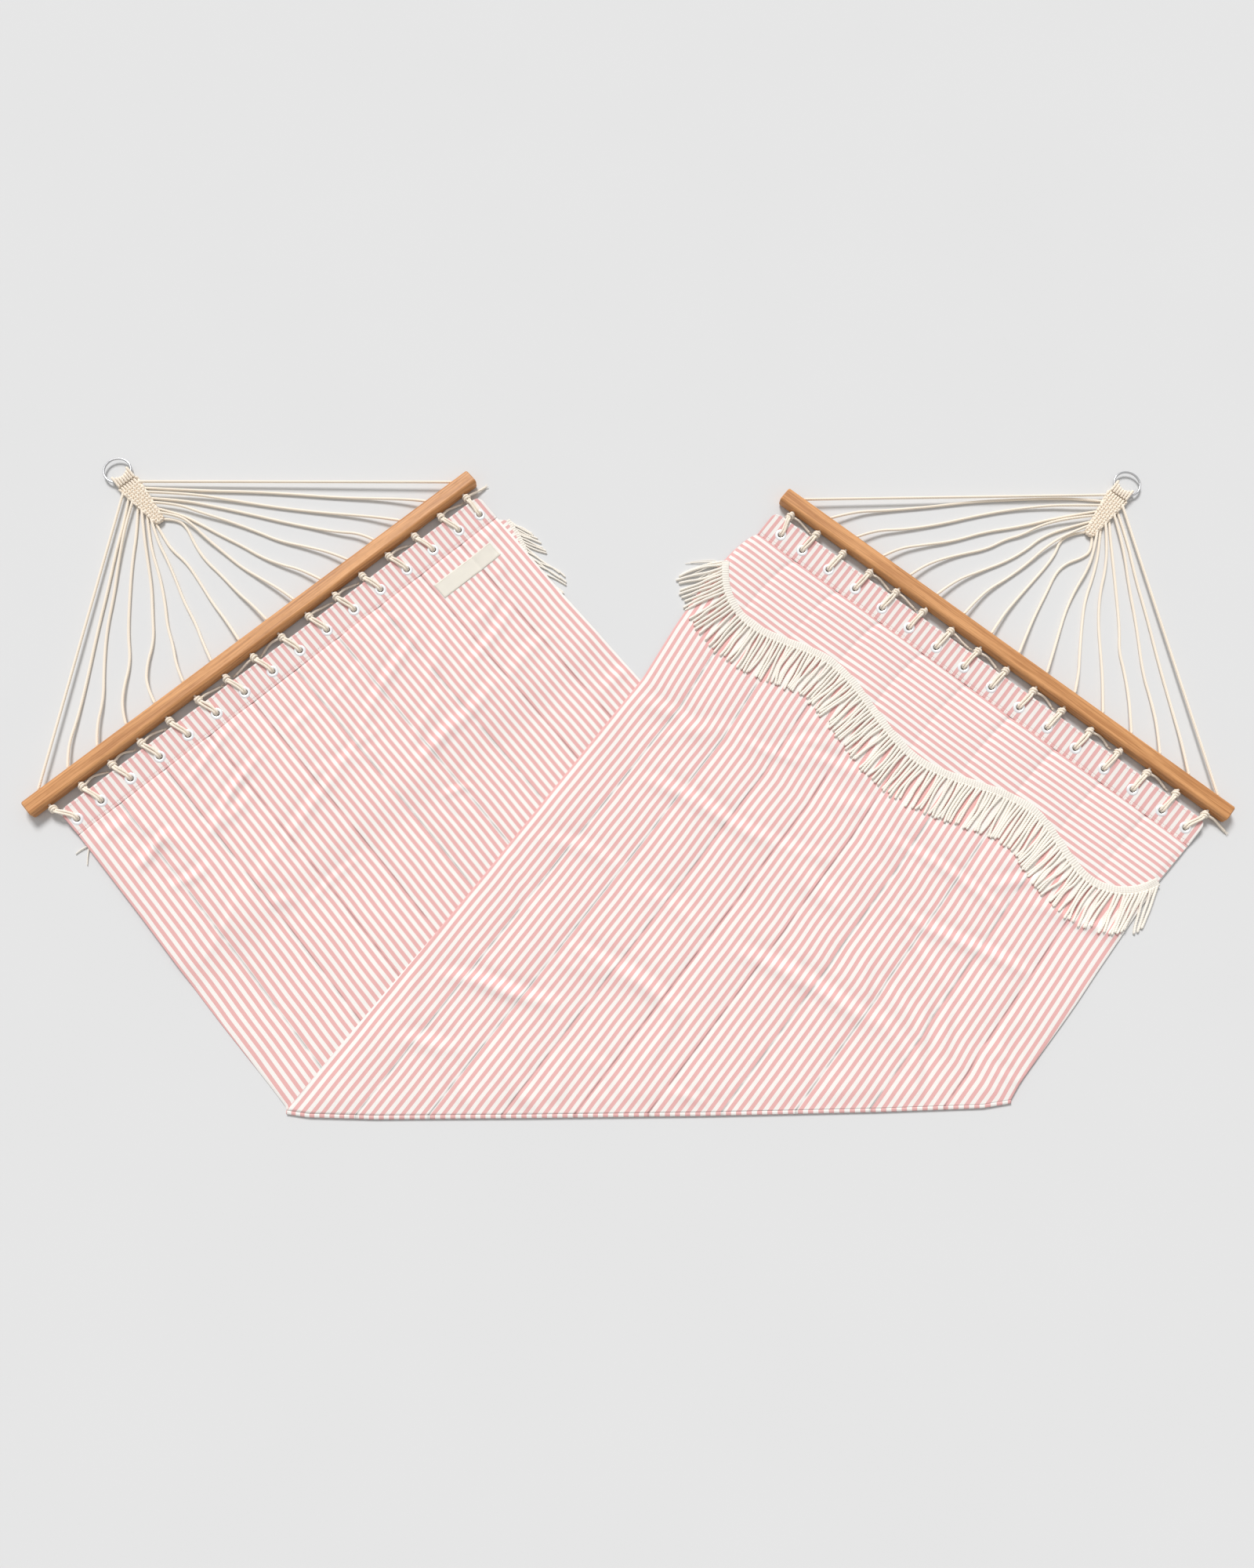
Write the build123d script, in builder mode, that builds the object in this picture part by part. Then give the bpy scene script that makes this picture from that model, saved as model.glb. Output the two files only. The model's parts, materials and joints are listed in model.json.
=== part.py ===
"""A quilted cotton hammock with two wooden spreader bars, folded once and laid flat on the ground.

The cloth is folded along X at the near side. The lower arm runs up to the left bar and the upper
arm to the right bar. Everything at an end is placed in that end's own frame: x along the bar,
y outward from the bar to the ring, z up, with the middle of the bar's underside at the origin.
"""

from build123d import *
from math import asin, cos, degrees, pi, radians, sin, sqrt, tan
import os

os.makedirs("parts", exist_ok=True)

# Where the two bars lie, and how they are turned from X
left_bar_centre = (-688.5, 244.4)
left_bar_angle = 40.0
right_bar_centre = (686.3, 207.6)
right_bar_angle = -39.6

# Spreader bars
bar_length = 1008
bar_width = 32
bar_height = 26
bar_edge_radius = 7
bar_end_chamfer = 2
hole_count = 16
hole_pitch = 62.6
hole_clearance = 0.5

# Rope
rope_diameter = 5.4
lift_off_floor = 0.1

# Cloth
cloth_thickness = 2.0
layer_gap = 0.3
hem_width = 55
hem_edge_y = -37
hem_edge_height = 12.5
hem_corner_radius = 14
fold_y = -617.4
fold_left_x = -596.8
fold_right_x = 629.2

# The upper arm's left edge, which bows out behind its corner, seen from the right bar
upper_left_edge = [(-515, -135), (-516, -231), (-504, -344), (-486, -462)]

# Where the lower cloth comes down from the valance under it to the ground
ramp_start_y = -385
ramp_end_y = -455

# Eyelets, pressed into the hem with a washer behind
eyelet_bore = 11
eyelet_outside = 22
eyelet_wall = 0.6
eyelet_dome = 1.6
washer_outside = 20
washer_thickness = 0.6
lip_outside = 15
lip_thickness = 0.4
eyelet_pitch = 62.6
eyelet_end_pitch = 51
eyelet_from_seam = 24.5
eyelet_fit = 0.3

# Lacing from the bar to the eyelets
knot_length = 13
knot_diameter = 15
knot_waist = 12
knot_from_bar = 4
lace_bend = 3.2
lace_gap = 0.2
tail_length = 46

# Valance and its bullion fringe
valance_setback = 4
valance_half_width = 480
valance_thickness = 1.2
tape_width = 13
tape_thickness = 1.6
tape_overhang = 4
strand_count = 150
strand_length = 90
strand_width = 4.4
strand_height = 2.8
strand_tip_width = 3.2

# Clew: woven head, loops round the ring, and the ring
weave_base_y = 310
weave_base_width = 18
weave_top_width = 44
weave_height = 11.2
weave_border = 5
weave_recess = 1.6
exit_pitch = 13
top_exit_setback = 15
ring_y = 451
ring_outside = 55
ring_wire = 4.0
ring_clearance = 0.3
loop_count = 7
loop_pitch = 5.6
loops_to_ring = 5
swing_gap = 0.3

# Care label sewn to the lower cloth
label_length = 136
label_width = 34
label_thickness = 1.0
label_x = 378
label_y = -141

rope_radius = rope_diameter / 2
bar_middle = bar_height / 2
seam_y = hem_edge_y - hem_width
hinge_y = bar_width / 2 + rope_radius + swing_gap
lay_height = rope_radius + lift_off_floor
ring_radius = (ring_outside - ring_wire) / 2
ring_slot = ring_wire / 2 + ring_clearance
loop_radius = ring_slot + rope_radius
ring_height = loop_radius + rope_radius + lift_off_floor
weave_top_y = ring_y - ring_outside / 2 - loops_to_ring
strand_level = layer_gap + valance_thickness + lift_off_floor + strand_height / 2
upper_level = cloth_thickness + layer_gap
lower_level = strand_level + strand_height / 2 + lift_off_floor


class End:
    """One end of the hammock: its frame, its cloth's level, and how the cloth lies on the bar."""

    def __init__(self, name, centre, angle, cloth_level, hem_ends, eyelet_shift, valance_shift, face_up):
        self.name = name
        self.hem_left, self.hem_right = hem_ends
        self.eyelet_shift = eyelet_shift
        self.valance_shift = valance_shift
        # 1 where the valance lies on the cloth, -1 where it lies under it
        self.face_up = face_up
        direction = (cos(radians(angle)), sin(radians(angle)), 0)
        self.frame = Plane(origin=(*centre, 0), x_dir=direction, z_dir=(0, 0, 1))
        self.cloth_top = cloth_level + cloth_thickness
        self.cloth_face = self.cloth_top if face_up > 0 else cloth_level
        rise = hem_edge_height + cloth_thickness - self.cloth_top
        self.hem_tilt = degrees(asin(rise / hem_width))
        tilt = radians(self.hem_tilt)
        upright = Vector(0, 0, cos(tilt)) - self.frame.y_dir * sin(tilt)
        self.hem = Plane(origin=self.at(0, seam_y, self.cloth_top), x_dir=direction, z_dir=upright)

    def at(self, x, y, z=0.0):
        """A point of this end's frame, in the whole hammock's frame."""
        return self.frame.from_local_coords(Vector(x, y, z))

    def on_hem(self, x, along, above):
        """A point measured from the seam along the tilted hem, and up from its top face."""
        return self.hem.from_local_coords(Vector(x, along, above))

    def side_plane(self, x):
        """The upright plane across the bar at x, with y outward and z up."""
        return Plane(origin=self.at(x, 0), x_dir=self.frame.y_dir, z_dir=self.frame.x_dir)

    def bar_plane(self, y, z):
        """The upright plane along the bar at y, looking back from the ring."""
        return Plane(origin=self.at(0, y, z), x_dir=self.frame.x_dir, z_dir=self.frame.y_dir)

    def level(self, height):
        """The z at a height out from the cloth face that carries the valance."""
        return self.cloth_face + self.face_up * height


left = End(
    name="left",
    centre=left_bar_centre,
    angle=left_bar_angle,
    cloth_level=lower_level,
    hem_ends=(-464, 490),
    eyelet_shift=10,
    valance_shift=15,
    face_up=-1,
)
right = End(
    name="right",
    centre=right_bar_centre,
    angle=right_bar_angle,
    cloth_level=upper_level,
    hem_ends=(-497, 479),
    eyelet_shift=-2.5,
    valance_shift=-5,
    face_up=1,
)
ends = [left, right]

hole_x = [(k - (hole_count - 1) / 2) * hole_pitch for k in range(hole_count)]
eyelet_span = (hole_count - 3) * eyelet_pitch + 2 * eyelet_end_pitch


def eyelet_x(end, k):
    """The k-th eyelet's place along the hem: the first and last stand closer to their neighbours."""
    if k == 0:
        return end.eyelet_shift - eyelet_span / 2
    if k == hole_count - 1:
        return end.eyelet_shift + eyelet_span / 2
    return end.eyelet_shift + (k - (hole_count - 1) / 2) * eyelet_pitch


def finish(part, name):
    """Names a finished piece and writes it."""
    part.label = name
    export_step(part, f"parts/{name}.step")


def flat(point):
    """A point's X and Y."""
    return (point.X, point.Y)


# The two cloth arms, one folded over the other


def make_lower_bed():
    """The lower arm: raised over the left valance, then flat on the ground to the fold."""
    top = cloth_thickness
    seam = seam_y - layer_gap
    with BuildPart() as bed:
        with BuildSketch(left.side_plane(0)):
            with BuildLine():
                Polyline(
                    (seam, lower_level),
                    (ramp_start_y, lower_level),
                    (ramp_end_y, 0),
                    (4 * fold_y, 0),
                    (4 * fold_y, top),
                    (ramp_end_y, top),
                    (ramp_start_y, lower_level + top),
                    (seam, lower_level + top),
                    close=True,
                )
            make_face()
        extrude(amount=2 * bar_length, both=True)
        with BuildSketch():
            Polygon(
                flat(left.at(left.hem_left, seam_y)),
                flat(left.at(left.hem_right, seam_y)),
                (fold_right_x, fold_y),
                (fold_left_x, fold_y),
                align=None,
            )
        extrude(amount=lower_level + 2 * top, mode=Mode.INTERSECT)
    return bed.part


def make_upper_bed():
    """The upper arm: a flat layer just above the lower one, from the fold to the right seam."""
    seam = seam_y - layer_gap
    with BuildPart() as bed:
        with BuildSketch(Plane.XY.offset(upper_level)):
            Polygon(
                *[flat(right.at(x, y)) for x, y in reversed(upper_left_edge)],
                flat(right.at(right.hem_left, seam)),
                flat(right.at(right.hem_right, seam)),
                (fold_right_x, fold_y),
                (fold_left_x, fold_y),
                align=None,
            )
        extrude(amount=cloth_thickness)
    return bed.part


finish(make_lower_bed(), "lower_bed")
finish(make_upper_bed(), "upper_bed")

with BuildPart() as label:
    with BuildSketch(left.frame.offset(left.cloth_top)):
        with Locations((label_x, label_y)):
            RectangleRounded(label_length, label_width, label_thickness)
    extrude(amount=label_thickness)
finish(label.part, "label")


# Bars and hems


def make_bar(end):
    """A rounded wooden bar with a row of rope holes at half its height."""
    with BuildPart() as bar:
        with BuildSketch(end.side_plane(-bar_length / 2)):
            with Locations((0, bar_middle)):
                RectangleRounded(bar_width, bar_height, bar_edge_radius)
        extrude(amount=bar_length)
        cut_ends = bar.faces().filter_by(Axis(origin=end.frame.origin, direction=end.frame.x_dir))
        chamfer(cut_ends.edges(), bar_end_chamfer)
        with BuildSketch(end.bar_plane(0, bar_middle)):
            with Locations(*[(x, 0) for x in hole_x]):
                Circle(rope_radius + hole_clearance)
        extrude(amount=bar_width, both=True, mode=Mode.SUBTRACT)
    return bar.part


def make_hem(end):
    """The stitched double band between the seam and the bar, pierced for the eyelets."""
    middle = (end.hem_left + end.hem_right) / 2
    with BuildPart() as hem:
        with BuildSketch(end.hem) as band:
            with Locations((middle, (layer_gap + hem_width) / 2)):
                Rectangle(end.hem_right - end.hem_left, hem_width - layer_gap)
            fillet(band.vertices().group_by(Axis.Y)[-1], hem_corner_radius)
            with Locations(*[(eyelet_x(end, k), eyelet_from_seam) for k in range(hole_count)]):
                Circle(eyelet_bore / 2 + eyelet_wall + eyelet_fit, mode=Mode.SUBTRACT)
        extrude(amount=-cloth_thickness)
    return hem.part


def make_eyelet():
    """One eyelet standing on the origin: a domed flange, a barrel and a lip rolled over its washer."""
    bore = eyelet_bore / 2
    barrel = bore + eyelet_wall
    edge = eyelet_outside / 2
    back = -cloth_thickness - washer_thickness
    with BuildPart() as eyelet:
        with BuildSketch(Plane.XZ):
            with BuildLine():
                Polyline(
                    (bore, eyelet_dome / 2),
                    (bore, back - lip_thickness),
                    (lip_outside / 2, back - lip_thickness),
                    (lip_outside / 2, back),
                    (barrel, back),
                    (barrel, 0),
                    (edge, 0),
                )
                ThreePointArc((edge, 0), ((bore + edge) / 2, eyelet_dome), (bore, eyelet_dome / 2))
            make_face()
        revolve(axis=Axis.Z)
    return eyelet.part


def make_washer():
    """The flat ring behind the cloth that an eyelet is closed on."""
    with BuildPart() as washer:
        with BuildSketch(Plane.XY.offset(-cloth_thickness - washer_thickness)):
            Circle(washer_outside / 2)
            Circle(eyelet_bore / 2 + eyelet_wall + eyelet_fit, mode=Mode.SUBTRACT)
        extrude(amount=washer_thickness)
    return washer.part


def along_hem(end, piece):
    """Copies of one small piece at every eyelet's place on the tilted hem."""
    with BuildPart(end.hem) as row:
        with Locations(*[(eyelet_x(end, k), eyelet_from_seam) for k in range(hole_count)]):
            add(piece)
    return row.part


eyelet = make_eyelet()
washer = make_washer()
for end in ends:
    finish(make_bar(end), f"{end.name}_bar")
    finish(make_hem(end), f"{end.name}_hem")
    finish(along_hem(end, eyelet), f"{end.name}_eyelets")
    finish(along_hem(end, washer), f"{end.name}_washers")


# Rope


def bend_radii(points):
    """The largest arc that each corner's two runs allow."""
    radii = []
    for before, here, after in zip(points, points[1:], points[2:]):
        into = here - before
        out_of = after - here
        turn = radians(into.get_angle(out_of))
        radii.append(0.45 * min(into.length, out_of.length) / tan(turn / 2))
    return radii


def rope_along(points, radii):
    """A length of rope that follows the points, with an arc at each corner."""
    with BuildPart() as rope:
        with BuildLine() as route:
            if len(points) > 2:
                FilletPolyline(*points, radius=radii)
            else:
                Line(*points)
        with BuildSketch(Plane(origin=points[0], z_dir=route.wire() % 0)):
            Circle(rope_radius)
        sweep()
    return rope.part


def make_knot(end, x):
    """The stopper knot against the bar: two bulging turns round the rope."""
    near = -bar_width / 2 - knot_from_bar
    far = near - knot_length
    neck = bar_middle + rope_radius
    crest = bar_middle + knot_diameter / 2
    waist = ((near + far) / 2, bar_middle + knot_waist / 2)
    crest_in = knot_length * 0.27
    with BuildPart() as knot:
        with BuildSketch(end.side_plane(x)):
            with BuildLine():
                Line((near, bar_middle), (far, bar_middle))
                Line((far, bar_middle), (far, neck))
                ThreePointArc((far, neck), (far + crest_in, crest), waist)
                ThreePointArc(waist, (near - crest_in, crest), (near, neck))
                Line((near, neck), (near, bar_middle))
            make_face()
        revolve(axis=Axis(origin=end.at(x, 0, bar_middle), direction=end.frame.y_dir))
    return knot.part


def make_lace(end, k, tail):
    """One lace: through the bar, knotted, over the hem, down its eyelet and back to the knot."""
    x = hole_x[k]
    eye = eyelet_x(end, k)
    lean = eye - x
    knot_y = -bar_width / 2 - knot_from_bar - knot_length * 0.6
    over = eyelet_dome + lace_gap + rope_radius
    under = -cloth_thickness - washer_thickness - lip_thickness - lace_gap - rope_radius
    loop = [
        end.at(x, knot_y, bar_middle + knot_diameter / 4),
        end.on_hem(x + lean * 0.2, hem_width, over),
        end.on_hem(eye, eyelet_from_seam, over),
        end.on_hem(eye, eyelet_from_seam, under),
        end.at(x + lean * 0.2, hem_edge_y, bar_middle / 2),
        end.at(x, knot_y, bar_middle - knot_diameter / 5),
    ]
    pieces = [
        rope_along(loop, [2 * lace_bend, lace_bend, lace_bend, 2 * lace_bend]),
        rope_along([end.at(x, knot_y, bar_middle), end.at(x, bar_width / 2, bar_middle)], []),
        make_knot(end, x),
    ]
    if tail:
        run = [
            end.at(x, knot_y + 3, bar_middle - 2),
            end.at(x + tail * 13, knot_y + 3, bar_middle * 0.55),
            end.at(x + tail * 28, knot_y + 6, lay_height + 0.8),
            end.at(x + tail * tail_length, knot_y + 3, lay_height),
        ]
        pieces.append(rope_along(run, bend_radii(run)))
    return pieces[0].fuse(*pieces[1:])


# Which laces end in a loose tail beside the bar: 1 to the right, -1 to the left, 0 where it is tucked in
left_tails = [0, 1, 1, 1, 0, 1, 0, -1, -1, 1, 1, 0, 1, 0, 1, 1]
right_tails = [1, 0, 0, 1, 1, 0, 1, 1, 0, 1, 0, 1, 0, 1, 0, 1]

for end, tails in ((left, left_tails), (right, right_tails)):
    laces = [make_lace(end, k, tails[k]) for k in range(hole_count)]
    with BuildPart() as lacing:
        add(laces)
    finish(lacing.part, f"{end.name}_lacing")


# Valances


# The lower edge of each valance at the top of its tape: three shallow scallops. Under the cloth, the
# left one's corners are pulled up towards the bar.
valance_edges = {
    "left": [
        (-480, -110),
        (-462, -180),
        (-388, -238),
        (-245, -210),
        (10, -262),
        (245, -211),
        (390, -245),
        (462, -178),
        (479, -106),
    ],
    "right": [
        (-480, -180),
        (-448, -222),
        (-380, -243),
        (-245, -210),
        (10, -262),
        (245, -211),
        (385, -250),
        (447, -217),
        (470, -180),
    ],
}

# How far the strands at a valance's two corners turn outward with its edge, left corner then right
corner_splay = {"left": (0.45, 0.3), "right": (0.6, 0.25)}


def edge_points(end, away):
    """The scalloped edge's points, moved outward from it by a distance."""
    with BuildLine() as edge:
        Spline(*valance_edges[end.name])
    curve = edge.edge()
    moved = []
    for point in valance_edges[end.name]:
        at = curve.param_at_point(point)
        along = curve.tangent_at(at)
        moved.append((point[0] + along.Y * away + end.valance_shift, point[1] - along.X * away))
    return moved


def make_valance(end):
    """The cloth flap that hangs from the seam, down to the middle of its fringe's tape."""
    top = seam_y - valance_setback
    lower = edge_points(end, tape_width - tape_overhang)
    upper_left = (end.valance_shift - valance_half_width, top)
    upper_right = (end.valance_shift + valance_half_width, top)
    base = end.level(layer_gap)
    with BuildPart() as valance:
        with BuildSketch(end.frame.offset(base)):
            with BuildLine():
                Polyline(lower[0], upper_left, upper_right, lower[-1])
                Spline(*lower)
            make_face()
        extrude(amount=end.face_up * valance_thickness)
    return valance.part


def make_strand(end, root, outward, sway):
    """One flattened four-sided strand of the fringe: out over the tape, then down on the cloth."""
    high = end.level(strand_level)
    # Where the valance lies under the cloth, its strands lie on the ground all the way
    low = end.level(strand_level - valance_thickness) if end.face_up > 0 else high
    across = outward.rotate(Axis.Z, 90)
    direction = end.frame.from_local_coords(outward) - end.frame.origin
    width_direction = direction.rotate(Axis.Z, 90)
    stations = [
        (0, 0, high, strand_width),
        (0.3, 0.4, (high + low) / 2, strand_width),
        (0.65, 1, low, strand_width),
        (1, 0.5, low, strand_tip_width),
    ]
    with BuildPart() as strand:
        for share, lean, height, width in stations:
            place = root + outward * strand_length * share + across * sway * lean
            section = Plane(origin=end.at(place.X, place.Y, height), z_dir=direction, x_dir=width_direction)
            with BuildSketch(section):
                Rectangle(width, strand_height)
        loft(ruled=True)
    return strand.part


def make_fringe(end):
    """The tape with its row of strands, which splay a little at both corners."""
    inner = edge_points(end, 0)
    outer = edge_points(end, tape_width)
    base = end.level(layer_gap + valance_thickness)
    with BuildLine() as middle:
        Spline(*edge_points(end, tape_width * 0.45))
    curve = middle.edge()
    left_splay, right_splay = corner_splay[end.name]
    strands = []
    for k in range(strand_count):
        at = (k + 0.5) / strand_count
        along = curve.tangent_at(at)
        splay = left_splay if at < 0.5 else right_splay
        outward = Vector(along.Y, -along.X) * splay + Vector(0, splay - 1)
        sway = 2.5 * sin(at * 40) + 1.5 * sin(at * 95)
        strands.append(make_strand(end, curve.position_at(at), outward.normalized(), sway))
    with BuildPart() as fringe:
        with BuildSketch(end.frame.offset(base)):
            with BuildLine():
                Spline(*inner)
                Line(inner[-1], outer[-1])
                Spline(*outer)
                Line(outer[0], inner[0])
            make_face()
        extrude(amount=end.face_up * tape_thickness)
        add(strands)
    return fringe.part


for end in ends:
    finish(make_valance(end), f"{end.name}_valance")
    finish(make_fringe(end), f"{end.name}_fringe")


# Clews


def weave_half_width(y):
    """Half the woven head's width at y."""
    share = (y - weave_base_y) / (weave_top_y - weave_base_y)
    return (weave_base_width + share * (weave_top_width - weave_base_width)) / 2


def make_weave(end):
    """The woven head: a tapering slab with its middle sunk between the raised outer cords."""
    with BuildPart() as weave:
        with BuildSketch(end.frame):
            Polygon(
                (-weave_half_width(weave_base_y), weave_base_y),
                (weave_half_width(weave_base_y), weave_base_y),
                (weave_half_width(weave_top_y), weave_top_y),
                (-weave_half_width(weave_top_y), weave_top_y),
                align=None,
            )
        extrude(amount=weave_height)
        with BuildSketch(end.frame.offset(weave_height)):
            inset_base = weave_base_y + 2 * weave_border
            Polygon(
                (weave_border - weave_half_width(inset_base), inset_base),
                (weave_half_width(inset_base) - weave_border, inset_base),
                (weave_half_width(weave_top_y) - weave_border, weave_top_y),
                (weave_border - weave_half_width(weave_top_y), weave_top_y),
                align=None,
            )
        extrude(amount=-weave_recess, mode=Mode.SUBTRACT)
    return weave.part


def make_loops(end):
    """The hairpins of rope that hold the ring: each runs over the wire, round it and back under it."""
    start = weave_top_y + swing_gap
    bore = ring_radius - ring_slot
    pins = []
    for k in range(loop_count):
        x = (k - (loop_count - 1) / 2) * loop_pitch
        bend = ring_y - sqrt(bore**2 - (abs(x) + rope_radius) ** 2)
        with BuildPart() as pin:
            with BuildLine(end.side_plane(x)) as route:
                Line((start, ring_height - loop_radius), (bend, ring_height - loop_radius))
                ThreePointArc(
                    (bend, ring_height - loop_radius),
                    (bend + loop_radius, ring_height),
                    (bend, ring_height + loop_radius),
                )
                Line((bend, ring_height + loop_radius), (start, ring_height + loop_radius))
            with BuildSketch(end.bar_plane(start, ring_height - loop_radius)):
                with Locations((x, 0)):
                    Circle(rope_radius)
            sweep()
        pins.append(pin.part)
    with BuildPart() as loops:
        add(pins)
    return loops.part


def make_ring(end):
    """The steel ring that the hammock hangs by."""
    with BuildPart() as ring:
        with Locations(Location(end.at(0, ring_y, ring_height))):
            Torus(ring_radius, ring_wire / 2)
    return ring.part


weaves = {end.name: make_weave(end) for end in ends}
for end in ends:
    finish(weaves[end.name], f"{end.name}_weave")
    finish(make_loops(end), f"{end.name}_ring_loops")
    finish(make_ring(end), f"{end.name}_ring")


# The points that each fan cord passes between its hole and the woven head, counted from the bar's
# left end. The outermost cords run straight.
left_routes = [
    [],
    [(-387, 52), (-338, 92), (-278, 148), (-218, 206), (-155, 263), (-98, 318), (-52, 357)],
    [(-326, 50), (-286, 88), (-252, 137), (-205, 196), (-152, 247), (-100, 303), (-54, 347)],
    [(-272, 47), (-248, 80), (-207, 117), (-178, 166), (-136, 221), (-90, 278), (-46, 325)],
    [(-212, 58), (-187, 93), (-151, 123), (-123, 166), (-91, 214), (-66, 260), (-40, 308)],
    [(-148, 54), (-129, 92), (-115, 131), (-91, 172), (-68, 219), (-51, 266), (-33, 303)],
    [(-85, 58), (-72, 100), (-63, 150), (-49, 194), (-36, 240), (-27, 284)],
    [(-26, 64), (-24, 114), (-17, 165), (-12, 213), (-18, 253), (-14, 284)],
    [(30, 57), (24, 100), (22, 150), (17, 196), (22, 236), (31, 272), (27, 297)],
    [(88, 50), (74, 95), (60, 140), (53, 184), (45, 230), (42, 268), (33, 300)],
    [(143, 58), (119, 95), (101, 132), (86, 178), (70, 217), (54, 262), (38, 302)],
    [(205, 52), (179, 92), (147, 136), (128, 176), (101, 227), (68, 280), (44, 322)],
    [(272, 47), (240, 80), (211, 118), (178, 161), (140, 215), (98, 272), (56, 326)],
    [(322, 48), (290, 84), (240, 136), (186, 195), (130, 262), (76, 324)],
    [(388, 42), (345, 84), (290, 134), (232, 192), (172, 250), (112, 303), (60, 352)],
    [],
]
right_routes = [
    [],
    [(-380, 62), (-337, 103), (-276, 163), (-217, 226), (-152, 286), (-88, 342), (-48, 372)],
    [(-326, 55), (-283, 95), (-235, 150), (-192, 208), (-147, 262), (-92, 317), (-48, 352)],
    [(-269, 52), (-237, 90), (-196, 135), (-160, 190), (-110, 246), (-62, 312)],
    [(-212, 46), (-198, 78), (-172, 118), (-136, 163), (-120, 202), (-100, 230), (-83, 270), (-50, 315)],
    [(-147, 65), (-119, 118), (-92, 166), (-76, 210), (-68, 250), (-43, 296)],
    [(-92, 54), (-86, 95), (-71, 137), (-58, 186), (-50, 236), (-34, 284)],
    [(-35, 66), (-33, 110), (-30, 158), (-27, 204), (-28, 240), (-35, 266), (-28, 292)],
    [(22, 60), (12, 108), (4, 160), (-5, 206), (0, 236), (17, 264), (24, 290)],
    [(82, 60), (67, 108), (52, 156), (43, 202), (39, 248), (27, 290)],
    [(144, 54), (121, 96), (92, 150), (70, 194), (54, 250), (36, 296)],
    [(188, 72), (151, 124), (114, 173), (85, 223), (68, 266), (44, 310)],
    [(252, 66), (210, 117), (178, 147), (156, 183), (126, 223), (83, 278), (45, 326)],
    [(315, 62), (278, 102), (235, 140), (178, 210), (120, 272), (66, 334)],
    [(370, 62), (318, 112), (252, 172), (180, 242), (120, 296), (66, 352)],
    [],
]

# How far a cord takes to come down from its hole, and to climb to the upper layer of the weave
drop_length = 110
climb_start = 60
climb_end = 170
reach_into_weave = 3


def cord_points(end, k, route):
    """A fan cord's points: the hole, its route on the ground, and its place in the weave."""
    side = -1 if k < hole_count / 2 else 1
    rank = k if side < 0 else hole_count - 1 - k
    exit_y = weave_top_y - top_exit_setback - rank * exit_pitch
    exit_x = side * weave_half_width(exit_y)
    exit_height = lay_height + (rope_diameter + lift_off_floor) * (1 - rank % 2)
    start = Vector(hole_x[k], hinge_y, bar_middle)
    stop = Vector(exit_x, exit_y, exit_height)
    points = [start]
    for x, y in route:
        here = Vector(x, y, 0)
        from_bar = (here - Vector(start.X, start.Y, 0)).length
        to_weave = (here - Vector(stop.X, stop.Y, 0)).length
        drop = max(0.0, 1 - from_bar / drop_length) * (bar_middle - lay_height)
        climb = min(1.0, max(0.0, (climb_end - to_weave) / (climb_end - climb_start)))
        points.append(Vector(x, y, lay_height + drop + climb * (exit_height - lay_height)))
    last = (stop - points[-1]).normalized()
    points.append(stop + last * reach_into_weave)
    return [end.at(*point) for point in points]


def make_cord(points, weave):
    """A fan cord: a round nose at the bar, which it turns about, and its tube up to the weave."""
    radii = bend_radii(points)
    first = (points[1] - points[0]).normalized()
    tube = rope_along(points, radii)
    with BuildPart() as nose:
        with BuildSketch(Plane(origin=points[0], x_dir=first, z_dir=first.cross(Vector(0, 0, 1)))):
            with BuildLine():
                Line((0, 0), (-rope_radius, 0))
                RadiusArc((-rope_radius, 0), (0, rope_radius), rope_radius)
                Line((0, rope_radius), (0, 0))
            make_face()
        revolve(axis=Axis(origin=points[0], direction=first))
    with BuildPart() as cord:
        add(tube)
        add(nose.part)
        add(weave, mode=Mode.SUBTRACT)
    return cord.part, tube, radii


def route_length(points, radii):
    """The length of the runs and arcs together."""
    total = sum((b - a).length for a, b in zip(points, points[1:]))
    for before, here, after, radius in zip(points, points[1:], points[2:], radii):
        turn = radians((here - before).get_angle(after - here))
        total -= radius * (2 * tan(turn / 2) - turn)
    return total


for end, routes in ((left, left_routes), (right, right_routes)):
    for k, route in enumerate(routes):
        points = cord_points(end, k, route)
        cord, tube, radii = make_cord(points, weaves[end.name])
        name = f"{end.name}_cord_{k + 1:02d}"
        finish(cord, name)
        length = route_length(points, radii)
        share = tube.volume / (pi * rope_radius**2 * length)
        tightest = min(radii) if radii else 0
        print(f"{name}: {length:.0f} mm long, tightest radius {tightest:.0f} mm, volume share {share:.4f}")
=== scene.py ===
"""The looks of a quilted cotton hammock with two wooden spreader bars, built over its solid parts.

The hammock is folded once and lies flat on a pale floor. Most places are given in an end's own frame,
in millimetres: x along the bar, y from the bar out to the ring, z up from the floor.
"""

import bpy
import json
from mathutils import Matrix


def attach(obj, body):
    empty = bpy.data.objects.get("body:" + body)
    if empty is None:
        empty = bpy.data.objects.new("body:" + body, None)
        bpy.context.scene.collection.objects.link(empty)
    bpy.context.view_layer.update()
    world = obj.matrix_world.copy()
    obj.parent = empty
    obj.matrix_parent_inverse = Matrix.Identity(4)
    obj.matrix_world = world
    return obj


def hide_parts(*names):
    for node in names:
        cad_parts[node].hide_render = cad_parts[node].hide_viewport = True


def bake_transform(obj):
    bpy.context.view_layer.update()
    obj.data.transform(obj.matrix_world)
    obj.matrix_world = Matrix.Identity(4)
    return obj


bl_info = {
    "name": "Hammock dressing",
    "version": (1, 0, 0),
    "blender": (4, 5, 0),
    "location": "3D View > Sidebar > Hammock",
    "description": "Dresses the hammock's solids in cloth, rope, fringe, wood and steel",
    "category": "Object",
}

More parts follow.
